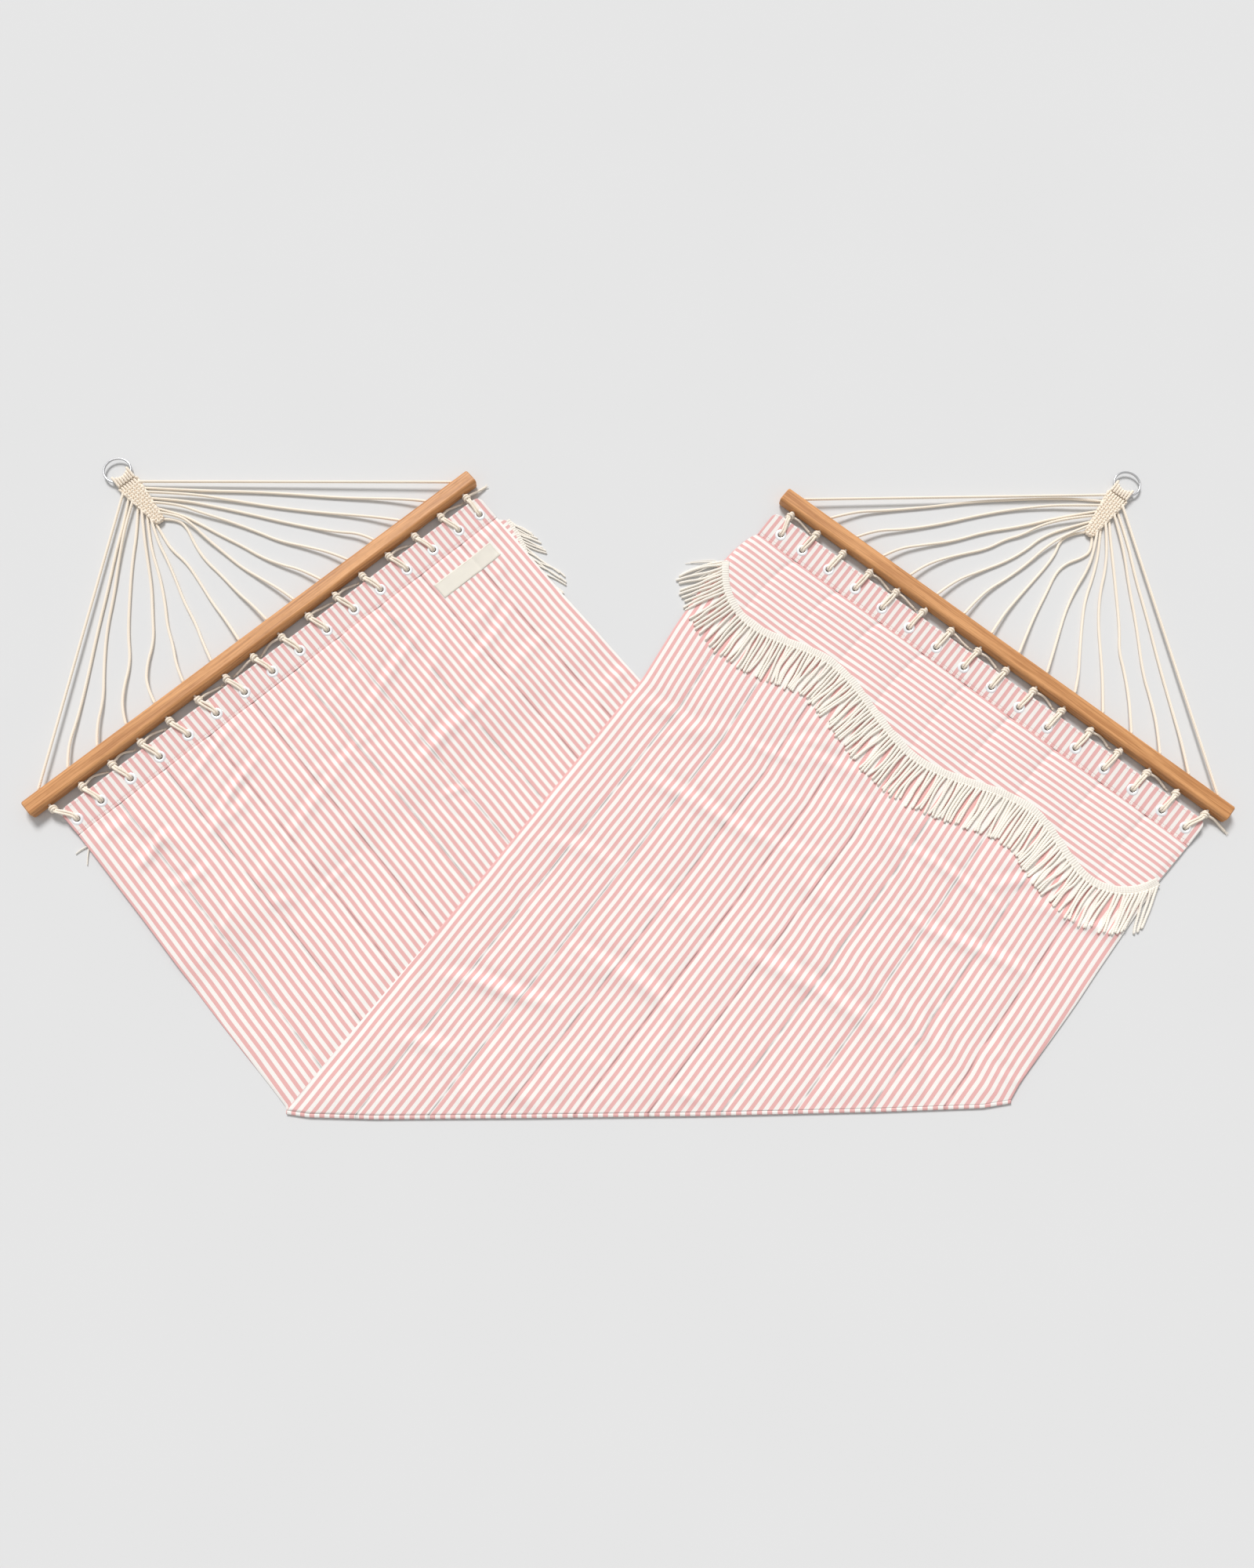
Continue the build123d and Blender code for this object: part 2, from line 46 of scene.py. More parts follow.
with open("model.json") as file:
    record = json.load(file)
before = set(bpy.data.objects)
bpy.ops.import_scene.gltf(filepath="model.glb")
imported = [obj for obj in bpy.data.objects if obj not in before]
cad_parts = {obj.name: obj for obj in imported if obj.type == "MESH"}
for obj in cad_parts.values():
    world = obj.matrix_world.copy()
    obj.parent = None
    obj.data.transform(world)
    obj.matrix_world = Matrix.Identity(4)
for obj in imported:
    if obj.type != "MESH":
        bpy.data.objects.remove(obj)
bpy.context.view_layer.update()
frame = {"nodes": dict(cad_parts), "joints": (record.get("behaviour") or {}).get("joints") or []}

import json
from math import ceil, cos, hypot, pi, radians, sin, sqrt, tau
from random import Random

import bpy
import numpy as np
from mathutils import Matrix, Vector

joints = {joint["name"]: joint for joint in frame["joints"]}

MM = 0.001
SEAM_Y = -92
HEM_EDGE_Y = -37
HEM_EDGE_HEIGHT = 12.5
HEM_WIDTH = HEM_EDGE_Y - SEAM_Y
HEM_CORNER = 14
BAR_WIDTH = 32
BAR_MIDDLE = 13
HOLE_COUNT = 16
HOLE_PITCH = 62.6
HOLE_X = [(k - (HOLE_COUNT - 1) / 2) * HOLE_PITCH for k in range(HOLE_COUNT)]
EYELET_END_PITCH = 51
EYELET_FROM_SEAM = 24.5
EYELET_HOLE = 7.2
CLOTH = 2.0
CLOTH_WIDTH = 954
FOLD_Y = -617.4
FOLD_LEFT = -596.8
FOLD_RIGHT = 629.2
FOLD_DEPTH = 6
UPPER_LIFT = 1.0
CREASE = 2.3
ROPE = 5.4
LAY_HEIGHT = ROPE / 2 + 0.1
HINGE_Y = 19
RING_Y = 451
RING_RADIUS = 25.5
RING_HEIGHT = 7.8
WEAVE_BASE_Y = 310
WEAVE_TOP_Y = 418.5
WEAVE_BASE_WIDTH = 18
WEAVE_TOP_WIDTH = 44
TAPE_WIDTH = 16
TAPE_START = -2
FRINGE_LENGTH = 90
HIDDEN_STRAND = 3.6
VALANCE_STRIPE = 12.9
HAIRPINS = 7
HAIRPIN_PITCH = 5.6
# Each row of stitches on a hem: its distance from the seam and how far in it starts
STITCH_ROWS = ((3.0, 1.5), (6.5, 1.5), (50.5, 6))

# The camera's place, its three axes and its focal length in pixels of a picture 2000 high
CAMERA_PLACE = (-88.7, -638.3, 2194.1)
CAMERA_AXES = ((0.9994, -0.0188, 0.0284), (0.0107, 0.9646, 0.2636), (-0.0323, -0.2632, 0.9642))
FOCAL_PIXELS = 1603.5
PICTURE_PIXELS = 2000
SENSOR = 36
SUN_LEAN = radians(42)
SUN_WIDTH = radians(20)
SUN_STRENGTH = 0.63
ROOM_LIGHT = 0.46
ROOM_SHINE = 0.80


class HammockSizes(bpy.types.PropertyGroup):
    """The sizes that a user would change."""

    lay: bpy.props.FloatProperty(
        name="Rope lay", description="Length of one full twist of the rope", default=0.0155,
        min=0.005, max=0.06, precision=4, unit="LENGTH", subtype="DISTANCE",
    )
    stripe: bpy.props.FloatProperty(
        name="Stripe pitch", description="Width of one pink and one pale stripe", default=0.0135,
        min=0.003, max=0.2, precision=4, unit="LENGTH", subtype="DISTANCE",
    )
    channel: bpy.props.FloatProperty(
        name="Channel pitch", description="Distance between the cloth's lengthwise channels",
        default=0.097, min=0.02, max=0.5, precision=4, unit="LENGTH", subtype="DISTANCE",
    )
    puff: bpy.props.FloatProperty(
        name="Puff", description="Height of the cloth between its channels", default=0.0023,
        min=0, max=0.006, precision=4, unit="LENGTH", subtype="DISTANCE",
    )
    strand: bpy.props.FloatProperty(
        name="Strand", description="Thickness of one strand of the fringe", default=0.0056,
        min=0.001, max=0.01, precision=4, unit="LENGTH", subtype="DISTANCE",
    )
    strands: bpy.props.IntProperty(
        name="Strands", description="Strands in each fringe", default=158, min=10, max=400
    )


class HammockColours(bpy.types.PropertyGroup):
    """The colours that a user would change."""

    pink: bpy.props.FloatVectorProperty(
        name="Pink stripe", description="Darker stripe of the cloth", subtype="COLOR", size=3,
        default=(0.84, 0.475, 0.455), min=0, max=1,
    )
    pale: bpy.props.FloatVectorProperty(
        name="Pale stripe", description="Lighter stripe of the cloth", subtype="COLOR", size=3,
        default=(0.955, 0.915, 0.87), min=0, max=1,
    )
    rope: bpy.props.FloatVectorProperty(
        name="Rope", description="Undyed cotton of the ropes", subtype="COLOR", size=3,
        default=(0.98, 0.88, 0.75), min=0, max=1,
    )
    fringe: bpy.props.FloatVectorProperty(
        name="Fringe", description="Paler cotton of the tape and the fringe", subtype="COLOR", size=3,
        default=(0.97, 0.91, 0.82), min=0, max=1,
    )
    wood: bpy.props.FloatVectorProperty(
        name="Wood", description="Middle tone of the bars", subtype="COLOR", size=3,
        default=(0.60, 0.275, 0.098), min=0, max=1,
    )
    floor: bpy.props.FloatVectorProperty(
        name="Floor", description="The pale floor", subtype="COLOR", size=3,
        default=(0.731, 0.731, 0.731), min=0, max=1,
    )


def size(name):
    """One of the user's sizes, in millimetres."""
    return getattr(bpy.context.scene.hammock_sizes, name) / MM


def colour(name):
    return tuple(getattr(bpy.context.scene.hammock_colours, name))


class End:
    """One end of the hammock: its frame, its hem and its level."""

    def __init__(self, name, hem_ends, eyelet_shift, valance_shift, host):
        lift = joints[f"{name}_bar_lift"]
        seam = Vector(lift["pos_m"])
        self.name = name
        self.hem_left, self.hem_right = hem_ends
        self.eyelet_shift = eyelet_shift
        self.valance_shift = valance_shift
        self.host = host
        self.across = Vector(lift["axis"]).normalized()
        self.outward = Vector((-self.across.y, self.across.x, 0))
        self.cloth_top = seam.z / MM
        self.origin = Vector((seam.x, seam.y, 0)) - self.outward * SEAM_Y * MM
        self.basis = np.array([self.across, self.outward, (0, 0, 1)]) * MM
        self.hem_rise = (HEM_EDGE_HEIGHT + CLOTH - self.cloth_top) / HEM_WIDTH
        self.hem_run = sqrt(1 - self.hem_rise**2)

    def points(self, local):
        """Points of this end's frame, in metres in the hammock's frame."""
        return np.asarray(local, float) @ self.basis + np.array(self.origin)

    def local(self, world):
        """Points of the hammock's frame, in metres, as millimetres in this end's frame."""
        return (np.asarray(world, float) - np.array(self.origin)) @ self.basis.T / MM**2

    def on_hem(self, x, along, above):
        """A point measured from the seam along the sloping hem and up from its top face."""
        y = SEAM_Y + along * self.hem_run - above * self.hem_rise
        return (x, y, self.cloth_top + along * self.hem_rise + above * self.hem_run)

    def eyelet_x(self, k):
        """The k-th eyelet's place: the first and last stand closer to their neighbours."""
        reach = (HOLE_COUNT - 3) * HOLE_PITCH / 2 + EYELET_END_PITCH
        if k in (0, HOLE_COUNT - 1):
            return self.eyelet_shift + (reach if k else -reach)
        return self.eyelet_shift + HOLE_X[k]


left = End("left", (-464, 490), 10, 15, "lower_cloth")
right = End("right", (-497, 479), -2.5, -5, "upper_cloth")
ends = (left, right)


# Shader maths


class Value:
    """A socket of a material's nodes. Arithmetic on it adds Math nodes."""

    def __init__(self, finish, socket):
        self.finish = finish
        self.socket = socket

    def math(self, operation, *others):
        inputs = dict(enumerate((self, *others)))
        return self.finish.node("ShaderNodeMath", {"operation": operation}, inputs)

    def __add__(self, other):
        return self.math("ADD", other)

    def __sub__(self, other):
        return self.math("SUBTRACT", other)

    def __rsub__(self, other):
        return self.finish.node("ShaderNodeMath", {"operation": "SUBTRACT"}, {0: other, 1: self})

    def __mul__(self, other):
        return self.math("MULTIPLY", other)

    __radd__ = __add__
    __rmul__ = __mul__


class Finish:
    """A material under construction round its Principled shader."""

    def __init__(self, name, fixed):
        self.material = bpy.data.materials.new(name)
        self.material.use_nodes = True
        self.tree = self.material.node_tree
        self.shader = self.tree.nodes["Principled BSDF"]
        for socket, value in fixed.items():
            self.shader.inputs[socket].default_value = value

    def node(self, kind, settings=(), inputs=(), output=0):
        """Adds a node: its settings first, then what its sockets take."""
        node = self.tree.nodes.new(kind)
        for setting, value in dict(settings).items():
            setattr(node, setting, value)
        for key, value in dict(inputs).items():
            self.feed(node.inputs[key], value)
        return Value(self, node.outputs[output])

    def feed(self, socket, value):
        if isinstance(value, Value):
            self.tree.links.new(value.socket, socket)
        elif socket.type == "RGBA" and len(value) == 3:
            socket.default_value = (*value, 1)
        else:
            socket.default_value = value

    def place(self):
        """The point on the object, in metres."""
        return self.node("ShaderNodeTexCoord", output="Object")

    def attribute(self, name, output="Fac"):
        return self.node("ShaderNodeAttribute", {"attribute_name": name}, output=output)

    def split(self, vector):
        parts = self.node("ShaderNodeSeparateXYZ", inputs={0: vector}).socket.node.outputs
        return [Value(self, part) for part in parts]

    def along(self, vector, direction):
        """How far a vector goes in a direction."""
        settings = {"operation": "DOT_PRODUCT"}
        return self.node("ShaderNodeVectorMath", settings, {0: vector, 1: tuple(direction)}, "Value")

    def combine(self, x, y, z=0.0):
        return self.node("ShaderNodeCombineXYZ", inputs={0: x, 1: y, 2: z})

    def noise(self, vector, scale, detail=3.0, roughness=0.5):
        inputs = {"Vector": vector, "Scale": scale, "Detail": detail, "Roughness": roughness}
        return self.node("ShaderNodeTexNoise", inputs=inputs)

    def ramp(self, value, low, high):
        """0 below low, 1 above high and a smooth rise between."""
        settings = {"interpolation_type": "SMOOTHSTEP"}
        return self.node("ShaderNodeMapRange", settings, {0: value, 1: low, 2: high, 3: 0.0, 4: 1.0})

    def blend(self, factor, first, second):
        return self.node("ShaderNodeMix", {"data_type": "RGBA"}, {0: factor, 6: first, 7: second}, 2)

    def scaled(self, tint, factor):
        """A colour made lighter or darker."""
        return self.node("ShaderNodeVectorMath", {"operation": "SCALE"}, {0: tint, "Scale": factor})

    def done(self, tint, height, depth, roughness=None):
        """Joins the colour, the bump and the roughness to the shader."""
        self.feed(self.shader.inputs["Base Color"], tint)
        if roughness is not None:
            self.feed(self.shader.inputs["Roughness"], roughness)
        bump = self.node("ShaderNodeBump", inputs={"Height": height, "Distance": depth})
        self.feed(self.shader.inputs["Normal"], bump)
        return self.material


COTTON = {"Roughness": 0.93, "Sheen Weight": 0.12, "Sheen Roughness": 0.5}


def toned(tint, *factors):
    """A colour with each of its three parts made more or less."""
    return tuple(min(1.0, part * factor) for part, factor in zip(tint, factors))


def cloth_finish(name, stripes_along, pitch, channels=False):
    """Woven cotton with two-tone stripes, and stitched channels where it's quilted, with painted shade
    darkening their grooves.
    """
    finish = Finish(name, COTTON)
    across, along, _ = finish.split(finish.attribute("cloth", "Vector"))
    over, down = (across, along) if stripes_along else (along, across)
    waver = (finish.noise(finish.combine(over * 0.012, down * 0.012), 1.0, 1.0) - 0.5) * 2.0
    fray = (finish.noise(finish.combine(over * 0.7, down * 0.7), 1.0, 1.0) - 0.5) * 0.5
    wave = ((over + waver + fray) * (tau / pitch)).math("SINE")
    mask = finish.ramp(wave, -0.16, 0.16)
    yarn = finish.noise(finish.combine(over * 1.3, down * 0.06), 1.0, 2.0)
    slub = finish.noise(finish.combine(over * 0.06, down * 1.3), 1.0, 2.0)
    worn = finish.noise(finish.combine(over * 0.012, down * 0.012), 1.0, 4.0, 0.6)
    shade = 0.92 + 0.07 * worn + 0.07 * yarn + 0.05 * slub
    tint = finish.scaled(finish.blend(mask, colour("pink"), colour("pale")), shade)
    weave = (over * (tau / 1.2)).math("SINE") * (down * (tau / 1.2)).math("SINE")
    fuzz = finish.noise(finish.combine(over, down), 0.5, 3.0)
    relief = weave * 0.35 + fuzz * 0.8 + slub * 0.6 + yarn * 0.4
    if channels:
        gap = size("channel")
        # Whole pitches are added so that the distance counts up from one side
        near = 1 - finish.ramp((over + 20 * gap).math("PINGPONG", gap / 2), 0.0, 3.2)
        patches = finish.noise(finish.combine(over * 0.01, down * 0.02), 1.0, 2.0)
        groove_and_painted_shade = near * finish.ramp(patches, 0.3, 0.6)
        relief = relief - groove_and_painted_shade * 6.0
        # Painted shade: the cloth is made darker along the channels' grooves
        tint = finish.scaled(tint, 1.0 - groove_and_painted_shade * 0.15)
    return finish.done(tint, relief, 0.0003)


def rope_finish(name, tint):
    """Soft twisted cotton: painted shade darkens and warms the grooves between its plies, with a fine fuzz.
    """
    finish = Finish(name, COTTON)
    place = finish.place()
    groove = finish.attribute("groove")
    fibres = finish.noise(place, 900.0, 2.0)
    tone = finish.noise(place, 14.0, 2.0)
    # Painted shade: the grooves between the plies are made darker and warmer
    depth = finish.ramp(groove, 0.45, 1.0)
    shade = 0.99 - depth * 0.14 + (fibres - 0.5) * 0.10 + (tone - 0.5) * 0.08
    groove_shaded_tint = finish.blend(depth, tint, toned(tint, 0.93, 0.85, 0.74))
    return finish.done(finish.scaled(groove_shaded_tint, shade), fibres, 0.0002)


def tape_finish(name, tint):
    """The fringe's woven tape: soft ribs across it."""
    finish = Finish(name, COTTON)
    across, along, _ = finish.split(finish.attribute("cloth", "Vector"))
    ribs = (across * (tau / 4.6)).math("SINE")
    threads = (along * (tau / 2.2)).math("SINE")
    fuzz = finish.noise(finish.combine(across, along), 0.8, 3.0)
    shade = 0.93 + ribs * 0.035 + threads * 0.02 + fuzz * 0.08
    return finish.done(finish.scaled(tint, shade), ribs * 0.6 + threads * 0.4 + fuzz * 0.5, 0.0005)


def wood_finish(end):
    """Oiled hardwood with its grain along the bar."""
    tint = colour("wood")
    finish = Finish(f"{end.name}_bar_wood", {})
    place = finish.place()
    down = finish.along(place, end.across)
    over = finish.along(place, end.outward)
    up = finish.along(place, (0, 0, 1))
    bend = finish.noise(finish.combine(down * 2.5, over * 9.0, up * 9.0), 1.0, 2.0)
    bands = finish.combine(down * 3.5, over * 95.0 + bend * 4.0, up * 95.0 + bend * 3.0)
    rings = finish.noise(bands, 1.0, 3.0, 0.55)
    streak = finish.noise(finish.combine(down * 8.0, over * 420.0, up * 420.0), 1.0, 4.0, 0.6)
    pores = finish.noise(finish.combine(down * 55.0, over * 1500.0, up * 1500.0), 1.0, 2.0, 0.6)
    board = finish.noise(finish.combine(down * 1.6, over * 3.0, up * 3.0), 1.0, 2.0)
    tone = finish.ramp(rings * 0.5 + streak * 0.5, 0.34, 0.66)
    body = finish.blend(tone, toned(tint, 0.74, 0.66, 0.56), toned(tint, 1.26, 1.36, 1.50))
    flecks = finish.ramp(pores, 0.60, 0.74)
    body = finish.blend(flecks * 0.6, body, toned(tint, 0.50, 0.42, 0.36))
    body = finish.scaled(body, 0.88 + 0.24 * board)
    return finish.done(body, streak * 0.5 - flecks * 0.6, 0.0003, 0.40 + 0.14 * rings)


def steel_finish(name, tint, metallic, roughness, scale):
    """Bright plated steel with faint handling marks."""
    finish = Finish(name, {"Metallic": metallic})
    marks = finish.noise(finish.place(), scale, 4.0, 0.6)
    tone = finish.scaled(tint, 0.94 + 0.1 * marks)
    return finish.done(tone, marks, 0.00004, roughness + 0.16 * marks)


def label_finish():
    """A woven cream label without any words."""
    finish = Finish("label_weave", {"Roughness": 0.9})
    across, along, _ = finish.split(finish.attribute("cloth", "Vector"))
    threads = (across * (tau / 0.9)).math("SINE") * (along * (tau / 0.9)).math("SINE")
    tone = finish.noise(finish.combine(across * 0.05, along * 0.05), 1.0, 3.0)
    return finish.done(finish.scaled((0.90, 0.85, 0.75), 0.95 + 0.08 * tone), threads, 0.0001)


def thread_finish(name, tint):
    """Sewing thread."""
    finish = Finish(name, {"Roughness": 0.8})
    fibres = finish.noise(finish.place(), 1500.0, 2.0)
    return finish.done(finish.scaled(tint, 0.9 + 0.2 * fibres), fibres, 0.0001)


def floor_finish():
    """A smooth pale floor with the faintest unevenness."""
    finish = Finish("pale_floor", {"Roughness": 0.95, "Specular IOR Level": 0.1})
    tone = finish.noise(finish.place(), 3.0, 2.0)
    return finish.done(finish.scaled(colour("floor"), 0.99 + 0.02 * tone), tone, 0.0001)


# Meshes


def new_piece(name, vertices, faces, material, attributes=()):
    """A smooth mesh object, its points in metres, with named values on its points."""
    mesh = bpy.data.meshes.new(name)
    mesh.from_pydata(np.asarray(vertices).tolist(), [], faces)
    mesh.polygons.foreach_set("use_smooth", np.ones(len(mesh.polygons), bool))
    for key, values in dict(attributes).items():
        values = np.asarray(values, np.float32)
        kind, field = ("FLOAT_VECTOR", "vector") if values.ndim == 2 else ("FLOAT", "value")
        mesh.attributes.new(key, kind, "POINT").data.foreach_set(field, values.ravel())
    mesh.materials.append(material)
    piece = bpy.data.objects.new(name, mesh)
    bpy.context.scene.collection.objects.link(piece)
    return piece


def place_piece(piece, body, slot, *nodes):
    """Puts a piece on its body and hides the solids that it stands for. Its slot argument is not used."""
    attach(piece, body)
    if nodes:
        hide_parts(*nodes)
    return piece


def grid_quads(rows, columns, wrap=False):
    """Faces of a grid of points: they face up where rows go outward and columns go right."""
    index = np.arange(rows * columns).reshape(rows, columns)
    if wrap:
        index = np.concatenate([index, index[:, :1]], axis=1)
    corners = (index[:-1, :-1], index[:-1, 1:], index[1:, 1:], index[1:, :-1])
    return np.stack(corners, -1).reshape(-1, 4)


def closed_sheet(top, bottom):
    """The points and faces of a closed sheet between two grids of points."""
    rows, columns = top.shape[:2]
    count = rows * columns
    quads = grid_quads(rows, columns)
    index = np.arange(count).reshape(rows, columns)
    rim = np.concatenate([index[0], index[1:, -1], index[-1, -2::-1], index[-2:0:-1, 0]])
    after = np.roll(rim, -1)
    sides = np.stack([after, rim, rim + count, after + count], -1)
    faces = np.concatenate([quads, quads[:, ::-1] + count, sides]).tolist()
    return np.concatenate([top.reshape(-1, 3), bottom.reshape(-1, 3)]), faces


def cloth_places(across, along):
    """The cloth attribute of a closed sheet, for its top and its bottom."""
    places = np.stack([across, along, 0 * along], -1).reshape(-1, 3)
    return {"cloth": np.concatenate([places, places])}


def reach_along(line):
    """How far each point of a line lies from its start, measured along it."""
    return np.concatenate([[0], np.cumsum(np.linalg.norm(np.diff(line, axis=0), axis=1))])


def unit_rows(vectors):
    return vectors / np.linalg.norm(vectors, axis=1)[:, None]


def even_points(line, step):
    """Points spaced evenly along a line of points."""
    line = np.asarray(line, float)
    reach = reach_along(line)
    places = np.linspace(0, reach[-1], max(4, ceil(reach[-1] / step) + 1))
    return np.stack([np.interp(places, reach, line[:, axis]) for axis in range(line.shape[1])], -1)


def smooth_line(points, step):
    """Evenly spaced points of the NURBS line that a rope's route gives."""
    if len(points) < 3:
        return even_points(points, step)
    curve = bpy.data.curves.new("route", "CURVE")
    curve.dimensions = "3D"
    curve.resolution_u = 24
    spline = curve.splines.new("NURBS")
    spline.points.add(len(points) - 1)
    for knot, point in zip(spline.points, points):
        knot.co = (*point, 1)
    spline.order_u = 3
    spline.use_endpoint_u = True
    holder = bpy.data.objects.new("route", curve)
    mesh = bpy.data.meshes.new_from_object(holder)
    line = np.empty(len(mesh.vertices) * 3)
    mesh.vertices.foreach_get("co", line)
    bpy.data.meshes.remove(mesh)
    bpy.data.objects.remove(holder)
    bpy.data.curves.remove(curve)
    return even_points(line.reshape(-1, 3), step)


def line_through(points, step):
    """Evenly spaced points of the smooth line through the given points."""
    points = np.asarray(points, float)
    reach = reach_along(points)
    count = len(points)
    gaps = np.diff(reach)
    system = np.eye(count)
    slopes = np.zeros_like(points)
    for i in range(1, count - 1):
        system[i, i - 1 : i + 2] = gaps[i - 1], 2 * (gaps[i - 1] + gaps[i]), gaps[i]
        after, before = points[i + 1] - points[i], points[i] - points[i - 1]
        slopes[i] = 6 * (after / gaps[i] - before / gaps[i - 1])
    bends = np.linalg.solve(system, slopes)
    places = np.linspace(0, reach[-1], 400)
    k = np.clip(np.searchsorted(reach, places) - 1, 0, count - 2)
    gap = gaps[k][:, None]
    after = (places - reach[k])[:, None]
    before = gap - after
    line = (bends[k] * before**3 + bends[k + 1] * after**3) / (6 * gap)
    line += (points[k] / gap - bends[k] * gap / 6) * before
    line += (points[k + 1] / gap - bends[k + 1] * gap / 6) * after
    return even_points(line, step)


class Ropes:
    """Twisted ropes gathered into one mesh, in metres."""

    def __init__(self):
        self.vertices, self.faces, self.grooves = [], [], []
        self.count = 0

    def add(self, line, thickness, lay, plies=3, sides=15, taper=0.0):
        """Twists a rope along a line of points and rounds off its two ends."""
        line = np.asarray(line, float)
        tangents = unit_rows(np.gradient(line, axis=0))
        side = np.cross(tangents[0], (0.0, 0.0, 1.0))
        if np.linalg.norm(side) < 0.1:
            side = np.cross(tangents[0], (1.0, 0.0, 0.0))
        first = np.empty_like(line)
        for i, tangent in enumerate(tangents):
            side = side - tangent * (side @ tangent)
            side = side / sqrt(side @ side)
            first[i] = side
        second = np.cross(tangents, first)
        reach = reach_along(line)
        radius = np.full(len(line), thickness / 2)
        cap = np.clip(np.minimum(reach, reach[-1] - reach) / radius, 0, 1)
        radius = radius * np.sqrt(np.clip(1 - (1 - cap) ** 2, 0.03, 1)) * (1 - taper * reach / reach[-1])
        angle = (np.arange(sides) / sides * tau)[None, :]
        lobe = np.abs(np.cos((angle - reach[:, None] / lay * tau) * plies / 2))
        spread = radius[:, None] * (0.74 + 0.26 * lobe**0.7)
        ring = line[:, None, :] + first[:, None, :] * (np.cos(angle) * spread)[..., None]
        ring = ring + second[:, None, :] * (np.sin(angle) * spread)[..., None]
        rows = len(line)
        self.faces += (grid_quads(rows, sides, wrap=True) + self.count).tolist()
        self.faces.append((np.arange(sides)[::-1] + self.count).tolist())
        self.faces.append((np.arange(sides) + self.count + (rows - 1) * sides).tolist())
        self.vertices.append(ring.reshape(-1, 3))
        self.grooves.append((1 - lobe).ravel())
        self.count += rows * sides

    def piece(self, name, material):
        # groove says how far each point lies down between the plies; the rope finish paints shade there
        attributes = {"groove": np.concatenate(self.grooves)}
        return new_piece(name, np.concatenate(self.vertices), self.faces, material, attributes)


class Stitches:
    """Short stitches of thread gathered into one mesh, in metres."""

    def __init__(self):
        self.vertices, self.faces = [], []
        self.block = grid_quads(3, 4, wrap=True)[:, ::-1].tolist() + [[0, 1, 2, 3], [11, 10, 9, 8]]

    def row(self, line, pitch=3.6, share=0.7, width=0.9, height=0.45):
        """Lays stitches along a line of points on the cloth."""
        points = even_points(line, pitch * MM)
        for start, stop in zip(points, points[1:]):
            run = stop - start
            across = np.cross(run, (0, 0, 1))
            across = across / np.linalg.norm(across) * width / 2 * MM
            low, high = np.array((0, 0, -0.3 * MM)), np.array((0, 0, height * MM))
            for place, crown in ((0.0, low), (share / 2, high), (share, low)):
                middle = start + run * place
                for side, level in ((-1, low), (-0.6, crown), (0.6, crown), (1, low)):
                    self.vertices.append(middle + across * side + level)
            count = len(self.vertices) - 12
            self.faces += [[index + count for index in face] for face in self.block]

    def piece(self, name, material):
        return new_piece(name, np.array(self.vertices), self.faces, material)


# The cloth's heights


def smooth(value, low, high):
    """0 below low, 1 above high and a smooth rise between."""
    share = np.clip((value - low) / (high - low), 0, 1)
    return share * share * (3 - 2 * share)


def scattered(seed, count, box, length, width, depth, lean):
    """Soft creases over a box of the cloth: each has two ends, a width and a depth."""
    dice = Random(seed)
    marks = []
    for _ in range(count):
        x, y = dice.uniform(box[0], box[1]), dice.uniform(box[2], box[3])
        reach = dice.uniform(*length) / 2
        angle = radians(dice.gauss(*lean))
        dx, dy = cos(angle) * reach, sin(angle) * reach
        marks.append((x - dx, y - dy, x + dx, y + dy, dice.uniform(*width), dice.uniform(*depth)))
    return marks


def creased(x, y, marks):
    """The height that creases add at points of the cloth."""
    height = np.zeros_like(x, float)
    for x0, y0, x1, y1, width, depth in marks:
        run = hypot(x1 - x0, y1 - y0)
        ux, uy = (x1 - x0) / run, (y1 - y0) / run
        along = ((x - x0) * ux + (y - y0) * uy) / run
        off = ((y - y0) * ux - (x - x0) * uy) / width + 0.5 * np.sin(along * 5 + x0)
        fade = np.clip(1 - (2 * along - 1) ** 2, 0, 1)
        height = height + CREASE * depth * fade * (np.exp(-(off**2)) - 0.6 * np.exp(-((off - 1.5) ** 2)))
    return height


# How far forward the rolled fold stands along the hammock's X
FOLD_LINE = [
    (-597, -607), (-560, -613), (-450, -618), (-200, -621), (100, -623), (400, -622), (580, -619),
    (629, -612),
]


def fold_line(x):
    places, reach = zip(*FOLD_LINE)
    return np.interp(x, places, reach)


